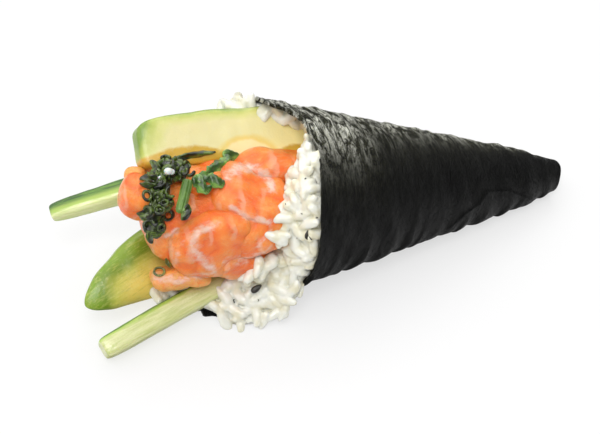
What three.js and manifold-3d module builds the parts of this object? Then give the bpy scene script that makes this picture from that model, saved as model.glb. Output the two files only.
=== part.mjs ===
// A temaki hand roll lying on its side: a nori cone filled with rice, with salmon, avocado,
// cucumber and chopped scallion standing out of its mouth. Millimetres, +Z up. The tip points
// along +X, and the roll rests on the pressed underside of the cone and on spilled rice.
//
// Places inside the roll are given as [along, side, lift]: "along" runs up the cone's axis from
// the tip, "side" is world +Y, the far side, and "lift" is square to both, upward.

import * as THREE from 'three';
import { mergeVertices } from 'three/addons/utils/BufferGeometryUtils.js';
import Module from 'manifold-3d';

const wasm = await Module();
wasm.setup();

// Nori cone
const TIP_X = 76.6;
const TIP_Y = -0.5;
const TIP_RADIUS = 6.4;
const MOUTH_RADIUS = 27.4;
const CONE_LENGTH = 93;
const TIP_PINCH = 1.0;
const PINCH_LENGTH = 12;
const PRESSED_DEPTH = 0.6;
const TIP_START = -1.2;
const TIP_CORNER = 1.3;
const TIP_HOLLOW = 0.2;
const TIP_HOLLOW_RADIUS = 2.6;
const TIP_EDGE_RADIUS = 4.4;
const TIP_BEVEL = 0.6;
const NORI_THICKNESS = 0.7;
const NORI_PLUG = 9;
const WRINKLE = 0.32;
const SEAM_STEP = 0.45;
const SEAM_ANGLE = -75;
const SEAM_SPAN = 70;

// Clearance between neighbouring pieces
const GAP = 0.3;

// Facets
const CONE_SIDES = 36;
const CONE_RINGS = 21;
const PIECE_SIDES = 10;
const PIECE_RINGS = 7;
const GRAIN_SIDES = 5;
const GRAIN_RINGS = 3;

// Rice
const GRAIN_LENGTH = 7.4;
const GRAIN_WIDTH = 3.5;
const GRAIN_DEPTH = 3.4;
const GRAIN_PROUD = 0.5;
const GRAIN_RISE = 0.5;
const GRAIN_SPACING = 4.7;
const GRAIN_APART = 4.2;
const SESAME_LENGTH = 3.4;
const RICE_FACE = 99;

// The salmon heap is a rounded log on this line, beside and under the cone's axis.
const HEAP_SIDE = -2;
const HEAP_LIFT = -3;

const degrees = THREE.MathUtils.degToRad;
const taper = (MOUTH_RADIUS - TIP_RADIUS) / CONE_LENGTH;
const tilt = Math.atan(taper);
const ALONG = new THREE.Vector3(-Math.cos(tilt), 0, Math.sin(tilt));
const SIDE = new THREE.Vector3(0, 1, 0);
const LIFT = new THREE.Vector3(Math.sin(tilt), 0, Math.cos(tilt));
const AXIS_START = new THREE.Vector3(TIP_X, TIP_Y, TIP_RADIUS * Math.cos(tilt) - PRESSED_DEPTH);

function direction([along, side, lift]) {
  const vector = ALONG.clone().multiplyScalar(along);
  return vector.addScaledVector(SIDE, side).addScaledVector(LIFT, lift);
}

function place(spot) {
  return direction(spot).add(AXIS_START);
}

function seededRandom(seed) {
  let state = seed;
  return () => {
    state = (state * 1664525 + 1013904223) % 4294967296;
    return state / 4294967296;
  };
}

function smooth(x) {
  return THREE.MathUtils.smoothstep(x, 0, 1);
}

function bump(x) {
  return Math.exp(-x * x);
}

// Smallest signed difference between two angles in degrees.
function turnBetween(angle, other) {
  return ((angle - other + 540) % 360 + 360) % 360 - 180;
}

// Value at an angle from [angle, value] keys that go once round the circle.
function aroundKeys(keys, angle) {
  const turn = ((angle % 360) + 360) % 360;
  const ahead = keys.findIndex(([key]) => key > turn);
  const next = ahead === -1 ? 0 : ahead;
  const [from, fromValue] = keys[(next + keys.length - 1) % keys.length];
  const [to, toValue] = keys[next];
  const share = (turn - from) / ((to - from + 360) % 360);
  return THREE.MathUtils.lerp(fromValue, toValue, smooth(share));
}

// ---- closed skins --------------------------------------------------------------------------

function closed(geometry) {
  geometry.deleteAttribute('normal');
  geometry.deleteAttribute('uv');
  return mergeVertices(geometry, 1e-4);
}

// A sphere's grid of "around" by "rings" facets, its points moved to pointAt(turn, step).
function skin(around, rings, pointAt) {
  const geometry = new THREE.SphereGeometry(1, around, rings);
  const { position, uv } = geometry.attributes;
  for (let i = 0; i < position.count; i += 1) {
    const turn = (Math.round(uv.getX(i) * around * 2) / 2 % around) / around;
    const step = Math.round((1 - uv.getY(i)) * rings);
    const point = pointAt(turn * Math.PI * 2, step);
    position.setXYZ(i, point.x, point.y, point.z);
  }
  return closed(geometry);
}

function signedPower(value, power) {
  return Math.sign(value) * Math.abs(value) ** power;
}

// A rounded piece: its own X is its length, Y its width and Z its thickness. "ends" and
// "edges" run from 1, round, towards 0, square. "bow" lifts its middle along Y, "ripple"
// lays shallow waves across it.
function roundedPiece({ length, width, depth, ends = 1, edges = 1, bow = 0, ripple = 0,
  sides = PIECE_SIDES, rings = PIECE_RINGS, grow = 0, narrow = 0 }) {
  const half = [length / 2 + grow, width / 2 + grow, depth / 2 + grow];
  return skin(sides, rings, (turn, step) => {
    const arc = (step / rings) * Math.PI;
    const reach = signedPower(Math.cos(arc), ends);
    const pole = step === 0 || step === rings;
    const girth = pole ? 0 : Math.sin(arc) ** ends * (1 - narrow * reach);
    const across = signedPower(Math.cos(turn), edges) * girth;
    const up = signedPower(Math.sin(turn), edges) * girth;
    const wave = ripple * Math.sin(reach * 4 + across * 2.5) * girth;
    return new THREE.Vector3(
      reach * half[0],
      across * half[1] + bow * (1 - reach * reach),
      up * half[2] + wave,
    );
  });
}

// Sets a piece at a point, with its length along "run" and its upper side near "face".
function setDown(geometry, point, run, face) {
  const x = run.clone().normalize();
  const y = new THREE.Vector3().crossVectors(face, x).normalize();
  const z = new THREE.Vector3().crossVectors(x, y);
  return geometry.applyMatrix4(new THREE.Matrix4().makeBasis(x, y, z).setPosition(point));
}

function settle(geometry, at, run, face) {
  return setDown(geometry, place(at), direction(run), direction(face));
}

// ---- solids --------------------------------------------------------------------------------

function toSolid(geometry) {
  return new wasm.Manifold(new wasm.Mesh({
    numProp: 3,
    vertProperties: new Float32Array(geometry.attributes.position.array),
    triVerts: new Uint32Array(geometry.index.array),
  }));
}

function toGeometry(solid) {
  const mesh = solid.getMesh();
  const geometry = new THREE.BufferGeometry();
  geometry.setAttribute('position', new THREE.BufferAttribute(mesh.vertProperties, 3));
  geometry.setIndex(new THREE.BufferAttribute(mesh.triVerts, 1));
  return geometry;
}

function pieceSolid({ at, run, face, ...form }, grow = 0) {
  return toSolid(settle(roundedPiece({ ...form, grow }), at, run, face));
}

function join(solids) {
  return solids.reduce((whole, solid) => whole.add(solid));
}

function cut(solid, tools) {
  return tools.reduce((rest, tool) => rest.subtract(tool), solid);
}

function largestBody(solid) {
  return solid.decompose().reduce((best, body) => (body.volume() > best.volume() ? body : best));
}

const roll = new THREE.Group();

function addNode(name, solid, [color, roughness]) {
  const material = new THREE.MeshStandardMaterial({ color, roughness, metalness: 0 });
  const mesh = new THREE.Mesh(toGeometry(solid), material);
  mesh.name = name;
  roll.add(mesh);
}

// ---- nori ----------------------------------------------------------------------------------

// How far along the axis the sheet's edge lies, by angle about the axis: 90 is the top, 180
// the near side and 270 the underside, where the sheet's long lip lies on the table.
const RIM_KEYS = [
  [0, 99], [30, 99], [55, 101.5], [68, 103], [80, 96.5], [92, 93.5], [120, 92.5], [150, 94],
  [180, 93], [210, 92.5], [222, 94], [239, 110], [250, 118], [270, 119], [292, 117],
  [315, 108], [340, 101],
];

// Steps of the sheet's inside, from the rim (1) down to the rolled plug at the tip (0).
const INNER_STEPS = [1, 0.93, 0.86, 0.6, 0.3, 0];

// The near corner of the lip opens outward and lies flat.
const FLARE = { angle: 239, spread: 17, from: 96, length: 13, out: 5.5 };

function coneRadius(along) {
  return TIP_RADIUS + taper * along - TIP_PINCH * (1 - smooth(along / PINCH_LENGTH));
}

function flare(along, angle) {
  const near = bump(turnBetween(angle, FLARE.angle) / FLARE.spread);
  return FLARE.out * near * smooth((along - FLARE.from) / FLARE.length);
}

function wrinkles(along, angle) {
  const turn = degrees(angle);
  const rings = Math.sin(along * 0.68 + 1.3 * Math.sin(turn * 2 + 0.4));
  const creases = Math.sin(along * 0.31 + turn * 3) * Math.sin(turn * 5 + along * 0.12);
  return WRINKLE * (0.6 * rings + 0.4 * creases);
}

// The free edge of the sheet lies over the first turn, on the underside.
function overlap(angle) {
  const past = turnBetween(angle, SEAM_ANGLE);
  return past < 0 ? 0 : SEAM_STEP * Math.max(0, 1 - past / SEAM_SPAN);
}

function noriPoint(along, radius, angle, floor) {
  const turn = degrees(angle);
  const point = place([along, radius * Math.cos(turn), radius * Math.sin(turn)]);
  point.z = Math.max(point.z, floor);
  return point;
}

// Outside from the tip's hollow end to the rim, then inside back down to the rolled plug.
function noriProfile(angle, grow) {
  const rim = aroundKeys(RIM_KEYS, angle) + grow;
  const end = TIP_START - TIP_CORNER * bump(turnBetween(angle, 90) / 50) - grow;
  const outside = Array.from({ length: CONE_RINGS + 1 }, (_, i) => {
    const along = THREE.MathUtils.lerp(end + TIP_BEVEL, rim, i / CONE_RINGS);
    const relief = wrinkles(along, angle) * smooth(along / 6) + overlap(angle) + flare(along, angle);
    return [along, coneRadius(along) + relief + grow];
  });
  const inside = INNER_STEPS.map((share) => {
    const along = THREE.MathUtils.lerp(NORI_PLUG, rim, share);
    const relief = wrinkles(along, angle) * share + flare(along, angle);
    return [along, coneRadius(along) + relief - NORI_THICKNESS - grow];
  });
  const tipCap = [
    [TIP_HOLLOW - grow, 0],
    [-TIP_HOLLOW - grow, TIP_HOLLOW_RADIUS],
    [end, TIP_EDGE_RADIUS + grow],
  ];
  return [...tipCap, ...outside, ...inside, [NORI_PLUG - TIP_BEVEL, 0]];
}

function noriSolid(grow = 0) {
  const rings = noriProfile(0, 0).length - 1;
  const lastOutside = rings - INNER_STEPS.length - 1;
  return toSolid(skin(CONE_SIDES, rings, (turn, step) => {
    const angle = THREE.MathUtils.radToDeg(turn);
    const [along, radius] = noriProfile(angle, grow)[step];
    const floor = step > lastOutside ? NORI_THICKNESS + grow : -grow;
    return noriPoint(along, radius, angle, floor);
  }));
}

// ---- rice ----------------------------------------------------------------------------------

// Rice spills past the rim or stays behind it: [angle, spread, outward, forward] of each mound.
const RICE_MOUNDS = [
  [228, 17, 11.5, 2],
  [42, 16, 4, 9],
  [252, 9, -3, 10],
  [76, 25, 0, -20],
];

// Steps of the rice wall up the cone, then of its face: [past the rim, in from the wall,
// share of a mound's outward, share of its forward].
const WALL_STEPS = [NORI_PLUG + 1, 24, 42, 60, 74, 83];
const FACE_STEPS = [
  [1.5, 0.5, 0.55, 0],
  [3, 1.5, 1, 0.6],
  [4.5, 5, 0.7, 0.9],
];

function mounds(angle, index) {
  return RICE_MOUNDS.reduce((sum, mound) => {
    return sum + mound[index] * bump(turnBetween(angle, mound[0]) / mound[1]);
  }, 0);
}

function riceWall(along) {
  const pinch = TIP_PINCH * (1 - smooth(along / PINCH_LENGTH));
  return TIP_RADIUS + taper * along - pinch - NORI_THICKNESS - WRINKLE - GAP;
}

function riceProfile(angle) {
  const rim = aroundKeys(RIM_KEYS, angle);
  const out = mounds(angle, 2);
  const on = mounds(angle, 3);
  const back = Math.min(on, 0);
  const wall = [...WALL_STEPS, rim - 3 + back].map((along) => [along, riceWall(along)]);
  const face = FACE_STEPS.map(([past, inward, outShare, onShare]) => {
    return [rim + past + (onShare ? on * onShare : back), riceWall(rim) - inward + out * outShare];
  });
  return [
    [NORI_PLUG + 0.4, 0],
    ...wall,
    ...face,
    [Math.min(rim, RICE_FACE) + 5 + on, riceWall(rim) * 0.66],
    [RICE_FACE - 1, 9],
    [RICE_FACE - 2, 0],
  ];
}

function riceCore() {
  const rings = riceProfile(0).length - 1;
  return toSolid(skin(CONE_SIDES, rings, (turn, step) => {
    const angle = THREE.MathUtils.radToDeg(turn);
    const [along, radius] = riceProfile(angle)[step];
    const onNori = along < aroundKeys(RIM_KEYS, angle) + 1;
    return noriPoint(along, radius, angle, onNori ? NORI_THICKNESS + GAP : 0);
  }));
}

// Points of the rice that rays from a side meet before they meet any other piece, on a grid
// whose cells are nudged by the seeded draw, each with the way out of the rice.
function showingSpots(from, core, random) {
  const back = direction(from).normalize();
  const right = new THREE.Vector3(0, 0, 1).cross(back).normalize();
  const up = new THREE.Vector3().crossVectors(back, right);
  const start = place([RICE_FACE, 0, 0]).addScaledVector(back, CONE_LENGTH);
  const ray = new THREE.Raycaster();
  const cells = Math.ceil((MOUTH_RADIUS * 1.5) / GRAIN_SPACING);
  const spots = [];
  for (let row = -cells; row <= cells; row += 1) {
    for (let column = -cells; column <= cells; column += 1) {
      const across = (column + (row % 2) / 2 + random() / 2) * GRAIN_SPACING;
      const rise = (row + random() / 2) * GRAIN_SPACING;
      const origin = start.clone().addScaledVector(right, across).addScaledVector(up, rise);
      ray.set(origin, back.clone().negate());
      const [hit] = ray.intersectObjects([...roll.children, core]);
      if (hit?.object === core) {
        spots.push({ point: hit.point, out: hit.face.normal });
      }
    }
  }
  return spots;
}

// A grain half sunk in the rice, lying along it whichever way the seeded draw turns it.
function grainSolid({ point, out }, random) {
  const scale = 0.85 + random() * 0.3;
  const length = GRAIN_LENGTH * scale;
  const width = GRAIN_WIDTH * scale;
  const form = { length, width, depth: GRAIN_DEPTH, ends: 0.7, sides: GRAIN_SIDES };
  const anyWay = new THREE.Vector3(random() - 0.5, random() - 0.5, random() - 0.5);
  const run = anyWay.addScaledVector(out, -anyWay.dot(out)).normalize();
  run.addScaledVector(out, (random() - 0.5) * GRAIN_RISE);
  const at = point.clone().addScaledVector(out, GRAIN_PROUD);
  return toSolid(setDown(roundedPiece({ ...form, rings: GRAIN_RINGS }), at, run, out));
}

function riceGrains(coreSolid) {
  const random = seededRandom(7);
  const core = new THREE.Mesh(toGeometry(coreSolid), new THREE.MeshStandardMaterial());
  const spots = RICE_SIDES.flatMap((from) => showingSpots(from, core, random));
  const kept = [];
  spots.forEach((spot) => {
    if (kept.every(({ point }) => point.distanceTo(spot.point) > GRAIN_APART)) {
      kept.push(spot);
    }
  });
  return kept.map((spot) => grainSolid(spot, random));
}

// Everything below the table's surface, to trim what would sink into it.
function tableTool() {
  const depth = 10;
  const size = 4 * CONE_LENGTH;
  return toSolid(closed(new THREE.BoxGeometry(size, size, depth).translate(0, 0, -depth / 2)));
}

// The sides that the rice shows from: near and above, the mouth, far and above.
const RICE_SIDES = [[0.3, -0.7, 0.7], [1, 0, 0.2], [0.3, 0.8, 0.6]];

const SESAME = { run: [0.3, -0.5, 0.8], face: [1, -0.8, 0.2], width: 2, depth: 1.4, narrow: 0.3 };
const SESAME_SPOTS = [[104.6, -16.6, -20], [96.5, -25.8, 6.3]];

function sesameSeeds() {
  const form = { ...SESAME, length: SESAME_LENGTH, sides: GRAIN_SIDES, rings: GRAIN_RINGS };
  return SESAME_SPOTS.map((at) => pieceSolid({ ...form, at }));
}

// ---- avocado and cucumber ------------------------------------------------------------------

const AVOCADO_FACETS = { sides: 14, rings: 12 };
const STRIP_FACETS = { sides: 12, rings: 8 };

const AVOCADO_TOP = {
  at: [110, 9.1, 14.5], run: [-1, 0, 0.02], face: [0.05, -0.6, 0.8],
  length: 58, width: 16, depth: 9, ends: 0.55, edges: 0.6, bow: 1.2, ...AVOCADO_FACETS,
};
const AVOCADO_LOW = {
  at: [122.8, 2.2, -22.2], run: [-57, 20, 12.5], face: [0.4, -0.7, 0.6],
  length: 66, width: 21, depth: 10, ends: 1.2, edges: 0.65, bow: 2, ...AVOCADO_FACETS,
};
const CUCUMBER_FAR = {
  at: [121.8, 20.2, -6.5], run: [-66, -7.9, 27], face: [0, -0.3, 1],
  length: 74, width: 7, depth: 7.6, ends: 0.2, edges: 0.5, narrow: -0.26, ...STRIP_FACETS,
};
const CUCUMBER_NEAR = {
  at: [119.5, -12.8, -24.8], run: [-34.5, 9, 11.4], face: [0, -0.5, 0.85],
  length: 68, width: 7.4, depth: 7, ends: 0.18, edges: 0.5, narrow: -0.08, ...STRIP_FACETS,
};

// ---- salmon --------------------------------------------------------------------------------

const SALMON_FORM = { ends: 0.8, edges: 0.8, ripple: 0.5 };

// Pieces round the heap: [along, angle round the heap's line, distance out], then the spin of
// the piece's length away from "along", and its sizes.
const SALMON = [
  { around: [120.5, 186, 11.6], spin: 20, length: 25, width: 21, depth: 13 },
  { around: [109, 121, 11.4], spin: -25, length: 25, width: 18, depth: 12 },
  { around: [98.5, 80, 13.6], spin: 5, length: 28, width: 15, depth: 12 },
  { around: [107.5, 166, 12.6], spin: 30, length: 19, width: 15, depth: 12 },
  { around: [111.5, 213, 14.6], spin: -10, length: 20, width: 12, depth: 10 },
  { around: [127, 236, 17.8], spin: 10, length: 18, width: 12, depth: 7, topping: looseRing },
  { around: [121.5, 92, 13], spin: 15, length: 14, width: 10, depth: 9 },
  { around: [142, 100, 10.5], spin: 70, length: 13, width: 9.5, depth: 10 },
  { around: [139.5, 62, 11.5], spin: 40, length: 7, width: 6, depth: 7 },
];

// The long slice down the middle of the heap, which runs on into the cone.
const SALMON_CORE = {
  at: [99.7, HEAP_SIDE, HEAP_LIFT], run: [1, 0, 0], face: [0, 0, 1],
  length: 73.4, width: 28, depth: 27, ends: 0.35, edges: 0.85, narrow: 0.06, ripple: 0.4,
  sides: 14, rings: 8,
};

function salmonPiece({ around: [along, angle, out], spin, ...sizes }) {
  const turn = degrees(angle);
  const outward = [0, Math.cos(turn), Math.sin(turn)];
  const round = [0, -Math.sin(turn), Math.cos(turn)];
  const lean = degrees(spin);
  const run = [Math.cos(lean), round[1] * Math.sin(lean), round[2] * Math.sin(lean)];
  const at = [along, HEAP_SIDE + out * outward[1], HEAP_LIFT + out * outward[2]];
  return { ...SALMON_FORM, ...sizes, at, run, face: outward };
}

// ---- herbs ---------------------------------------------------------------------------------

const NEAR_AND_UP = [0.3, -0.7, 0.7];
const RING_TUBE = 0.8;
const RINGS_PER_CLUSTER = 1;

const SCALLION_STALK = {
  at: [130.7, -11.1, 11.6], run: [3.2, -6.2, -3.8], face: NEAR_AND_UP,
  length: 10, width: 2.9, depth: 2.9, ends: 0.25,
};

// Clusters of chopped scallion, each [along, side, lift] and how wide it spreads.
const CLUSTERS = [
  { at: [129, -1.6, 13.4], spread: 7 },
  { at: [132.6, -1.4, 13.4], spread: 8 },
  { at: [136, -3.4, 12.8], spread: 7 },
  { at: [138, -6.5, 11.2], spread: 8 },
  { at: [136.4, -9.6, 9.4], spread: 7 },
  { at: [140, -10, 7.5], spread: 8 },
  { at: [138.8, -13.3, 3.5], spread: 7 },
];

const LEAFLET_FORM = { depth: 1.4, ripple: 0.4, ends: 0.7, sides: 6, rings: 4, face: NEAR_AND_UP };
const LEAFLETS = [
  { at: [119.5, -3.5, 14.5], run: [-1, 0.75, 0.1], length: 16, width: 3.2 },
  { at: [125, -8.5, 13.2], run: [-0.6, -0.5, -0.4], length: 6.5, width: 3.6 },
  { at: [120.5, -7.4, 13.4], run: [-0.8, -0.6, -0.2], length: 6, width: 3 },
  { at: [112, 2.4, 14.6], run: [-1, 0.5, -0.1], length: 7, width: 3.4 },
];

// A ring of scallion and a sliver that lie apart from the heap, each stuck to a salmon piece.
const LOOSE_RING = { at: [132, -8.6, -16.6], run: [0, 0.4, 0.9], face: [0.6, -0.8, 0.2], radius: 1.3 };
const LOOSE_SLIVER = {
  at: [131, -11.5, -11.8], run: [0.2, 0.5, 0.85], face: [0.5, -0.8, 0.3],
  length: 4.5, width: 1.3, depth: 1.2, sides: 6, rings: 4,
};

function scallionRing({ at, run, face, radius }, grow = 0) {
  const ring = closed(new THREE.TorusGeometry(radius, RING_TUBE + grow, 4, 6));
  return toSolid(settle(ring, at, run, face));
}

function clusterSolids({ at, spread }, random) {
  const bed = { length: spread, width: spread, depth: 3.4, sides: 6, rings: 4 };
  const solids = [pieceSolid({ ...bed, at, run: [1, 0.4, 0], face: NEAR_AND_UP })];
  for (let i = 0; i < RINGS_PER_CLUSTER; i += 1) {
    const offset = [random() * 6 - 3, random() * 5 - 3, random() * 3];
    const face = [random() - 0.2, -random(), random() + 0.2];
    const run = [random(), random(), -random()];
    const spot = at.map((value, axis) => value + offset[axis]);
    solids.push(scallionRing({ at: spot, run, face, radius: 1.3 + random() * 0.5 }));
  }
  return solids;
}

function looseRing(grow) {
  return scallionRing(LOOSE_RING, grow);
}

function scallionHeap() {
  const random = seededRandom(11);
  return join(CLUSTERS.flatMap((cluster) => clusterSolids(cluster, random)));
}

function herbSprig(grow = 0) {
  return join(LEAFLETS.map((leaflet) => pieceSolid({ ...LEAFLET_FORM, ...leaflet }, grow)));
}

// ---- assembly ------------------------------------------------------------------------------

const NORI_LOOK = [0x1c211d, 0.45];
const RICE_LOOK = [0xeef0e6, 0.6];
const SALMON_LOOK = [0xf07a4a, 0.35];
const AVOCADO_LOOK = [0xe3da8c, 0.5];
const CUCUMBER_LOOK = [0xcbdc9d, 0.4];
const SCALLION_LOOK = [0x1f4a26, 0.4];
const STALK_LOOK = [0x3f8a3a, 0.4];
const HERB_LOOK = [0x2f7031, 0.4];

// Every piece laid so far, grown by the clearance, for the next pieces to be cut by.
const laid = [];

function addPiece(name, look, piece, topping) {
  const grown = (grow) => {
    const solid = pieceSolid(piece, grow);
    return topping ? solid.add(topping(grow)) : solid;
  };
  addNode(name, largestBody(cut(grown(0), laid)), look);
  laid.push(grown(GAP));
}

addNode('nori', noriSolid(), NORI_LOOK);
laid.push(noriSolid(GAP));

addPiece('avocado_top', AVOCADO_LOOK, AVOCADO_TOP);
addPiece('cucumber_near', CUCUMBER_LOOK, CUCUMBER_NEAR);
addPiece('avocado_low', AVOCADO_LOOK, AVOCADO_LOW);
addPiece('cucumber_far', CUCUMBER_LOOK, CUCUMBER_FAR);
SALMON.forEach(({ topping, ...piece }, i) => {
  addPiece(`salmon_${i + 1}`, SALMON_LOOK, salmonPiece(piece), topping);
});
addPiece('salmon_10', SALMON_LOOK, SALMON_CORE, (grow) => pieceSolid(LOOSE_SLIVER, grow));
addPiece('scallion_stalk', STALK_LOOK, SCALLION_STALK);

addNode('herb_sprig', largestBody(cut(herbSprig(), laid)), HERB_LOOK);
laid.push(herbSprig(GAP));
addNode('scallion_heap', largestBody(cut(scallionHeap(), laid)), SCALLION_LOOK);

const riceTools = [...laid, tableTool()];
const core = largestBody(cut(riceCore(), riceTools));
const rice = join([core, ...riceGrains(core), ...sesameSeeds()]);
addNode('rice', largestBody(cut(rice, riceTools)), RICE_LOOK);

export default roll;
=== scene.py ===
"""The looks of a temaki hand roll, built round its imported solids.

Sizes are in millimetres and become metres where a mesh is made. A spot in the roll is
[along, side, lift]: "along" runs up the cone's axis from the tip, "side" is world +Y, the far
side, and "lift" is square to both, upward. An angle about the axis is 0 at the far side, 90 at
the top, 180 at the near side and 270 underneath.
"""

import math
import random

import bpy
import numpy as np
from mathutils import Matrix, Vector, noise
from mathutils.bvhtree import BVHTree


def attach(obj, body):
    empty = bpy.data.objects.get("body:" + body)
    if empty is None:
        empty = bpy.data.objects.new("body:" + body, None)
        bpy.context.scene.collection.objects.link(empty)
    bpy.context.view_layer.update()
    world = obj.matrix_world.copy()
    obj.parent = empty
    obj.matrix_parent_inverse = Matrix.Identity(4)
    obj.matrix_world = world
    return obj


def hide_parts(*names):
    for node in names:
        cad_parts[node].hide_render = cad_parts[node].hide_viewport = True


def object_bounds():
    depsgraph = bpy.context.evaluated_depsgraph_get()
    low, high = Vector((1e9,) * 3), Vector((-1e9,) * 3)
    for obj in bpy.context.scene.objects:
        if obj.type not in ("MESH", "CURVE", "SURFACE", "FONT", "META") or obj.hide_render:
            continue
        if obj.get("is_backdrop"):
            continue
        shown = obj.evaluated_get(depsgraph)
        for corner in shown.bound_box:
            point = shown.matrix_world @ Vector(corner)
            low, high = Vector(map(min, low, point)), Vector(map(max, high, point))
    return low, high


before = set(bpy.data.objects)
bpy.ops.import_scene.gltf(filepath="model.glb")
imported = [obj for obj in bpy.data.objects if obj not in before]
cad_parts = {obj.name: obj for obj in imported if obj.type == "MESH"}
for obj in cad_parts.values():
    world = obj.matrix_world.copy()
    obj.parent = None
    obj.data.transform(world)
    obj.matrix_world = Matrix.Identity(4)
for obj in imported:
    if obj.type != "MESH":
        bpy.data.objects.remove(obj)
cad_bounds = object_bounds()

MM = 0.001

# The cone of nori, as in the solids: where its tip lies, its radii and length, the pinched and
# bevelled tip, the plug of sheet in it, and the step where the sheet overlaps itself
TIP_X = 76.6
TIP_Y = -0.5
TIP_RADIUS = 6.4
MOUTH_RADIUS = 27.4
CONE_LENGTH = 93
TIP_PINCH = 1.0
PINCH_LENGTH = 12
PRESSED_DEPTH = 0.6
TIP_START = -1.2
TIP_CORNER = 1.3
TIP_EDGE_RADIUS = 4.4
TIP_BEVEL = 0.6
NORI_THICKNESS = 0.7
NORI_PLUG = 9
WRINKLE = 0.32
SEAM_STEP = 0.45
SEAM_ANGLE = -75
SEAM_SPAN = 70
GAP = 0.3

TAPER = (MOUTH_RADIUS - TIP_RADIUS) / CONE_LENGTH
TILT = math.atan(TAPER)
ROLL_AXES = np.array([
    [-math.cos(TILT), 0, math.sin(TILT)],
    [0, 1, 0],
    [math.sin(TILT), 0, math.cos(TILT)],
])
AXIS_START = np.array([TIP_X, TIP_Y, TIP_RADIUS * math.cos(TILT) - PRESSED_DEPTH])

# Toward the side that the roll is served from, in the roll's axes
VIEW_WAY = (0.41, -0.69, 0.59)


# ---- places and numbers ----

def direction(vector):
    """A direction in the roll's axes as one in the world."""
    return np.asarray(vector, float) @ ROLL_AXES


def place(spots):
    """Spots in the roll as world points."""
    return direction(spots) + AXIS_START


def in_roll(points):
    """World points as [along, side, lift]."""
    return (points - AXIS_START) @ ROLL_AXES.T


def unit(vector):
    return vector / np.linalg.norm(vector)


TO_VIEW = unit(direction(VIEW_WAY))


def smooth(x):
    """0 below 0, 1 above 1, and smooth in between."""
    x = np.clip(x, 0, 1)
    return x * x * (3 - 2 * x)


def bump(x):
    """1 at 0, falling off smoothly to nothing at about 2 either way."""
    return np.exp(-np.square(x))


def between(x, start, rise, end, fall):
    """1 between start and end, rising and falling smoothly inside them."""
    return smooth((x - start) / rise) * smooth((end - x) / fall)


def turn_between(angle, other):
    """Smallest signed difference between angles in degrees."""
    return (angle - other + 180) % 360 - 180


def round_axis(along, radius, angle):
    """Spots round the cone's axis."""
    turn = np.radians(angle)
    return np.stack([along, radius * np.cos(turn), radius * np.sin(turn)], axis=-1)


def angle_of(spots):
    return np.degrees(np.arctan2(spots[:, 2], spots[:, 1]))


def around_keys(keys, angle):
    """Values at angles from (angle, value) keys that go once round the circle."""
    turns, values = np.array([*keys, (keys[0][0] + 360, keys[0][1])], float).T
    angle = (np.asarray(angle, float) - turns[0]) % 360 + turns[0]
    after = np.clip(np.searchsorted(turns, angle, side="right"), 1, len(keys))
    share = (angle - turns[after - 1]) / (turns[after] - turns[after - 1])
    return values[after - 1] + (values[after] - values[after - 1]) * smooth(share)


def wander(points, size, seed=0, octaves=1):
    """Smooth noise at points, about -1 to 1, with waves about "size" long."""
    shift = Vector((7.3, 3.1, 5.7)) * seed
    scaled = (np.asarray(points) / np.asarray(size)).tolist()
    return np.array([noise.fractal(Vector(p) + shift, 1.0, 2.0, octaves) for p in scaled])


# ---- meshes ----

# Steps along a superellipse that its length is measured by
FINE_STEPS = 3000


def added(name, data):
    """A new object in the scene."""
    made = bpy.data.objects.new(name, data)
    bpy.context.scene.collection.objects.link(made)
    return made


def new_object(name, points, faces, material=None, **attributes):
    """A smooth mesh from points in millimetres, with attributes of one number or vector a point."""
    mesh = bpy.data.meshes.new(name)
    mesh.from_pydata((np.asarray(points) * MM).tolist(), [], faces)
    made = added(name, mesh)
    for key, values in attributes.items():
        add_attribute(made, key, values)
    mesh.shade_smooth()
    if material:
        mesh.materials.append(material)
    return made


def add_attribute(piece, key, values):
    values = np.asarray(values, np.float32)
    kind, field = ("FLOAT_VECTOR", "vector") if values.ndim == 2 else ("FLOAT", "value")
    attribute = piece.data.attributes.new(key, kind, "POINT")
    attribute.data.foreach_set(field, values.ravel())


def vectors(items, field):
    """A vector field of a mesh's items, a row for each."""
    flat = np.zeros(len(items) * 3, np.float32)
    items.foreach_get(field, flat)
    return flat.reshape(-1, 3)


def points_of(piece):
    """The piece's points in millimetres."""
    return vectors(piece.data.vertices, "co").astype(float) / MM


def own_of(piece):
    """The points' own places."""
    return vectors(piece.data.attributes["own"].data, "vector")


def move_points(piece, points):
    piece.data.vertices.foreach_set("co", (points * MM).ravel())
    piece.data.update()


def push_out(piece, amounts):
    """Moves each point along its normal by its amount in millimetres."""
    normals = vectors(piece.data.vertex_normals, "vector")
    move_points(piece, points_of(piece) + normals * amounts[:, None])


def roughen(piece, depth, size, seed, octaves=1):
    """Moves the surface in and out by noise."""
    push_out(piece, depth * wander(points_of(piece), size, seed, octaves))


def joined(parts):
    """Several parts as one. A part is its points, their own places in the piece, and faces."""
    points, own, part_faces = zip(*parts)
    starts = np.cumsum([0, *map(len, points[:-1])]).tolist()
    faces = [tuple(start + v for v in face)
             for start, faces_here in zip(starts, part_faces) for face in faces_here]
    return np.concatenate(points), np.concatenate(own), faces


def object_of(name, part, material):
    points, own, faces = part
    return new_object(name, points, faces, material, own=own)


def part_of(piece):
    """A piece as a part, whose points are their own places too."""
    points = points_of(piece)
    return points, points, [tuple(polygon.vertices) for polygon in piece.data.polygons]


def band_faces(around, row, next_row):
    """Faces between two closed rows of "around" points."""
    ahead = [(j + 1) % around for j in range(around)]
    return [(row + j, row + ahead[j], next_row + ahead[j], next_row + j) for j in range(around)]


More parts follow.
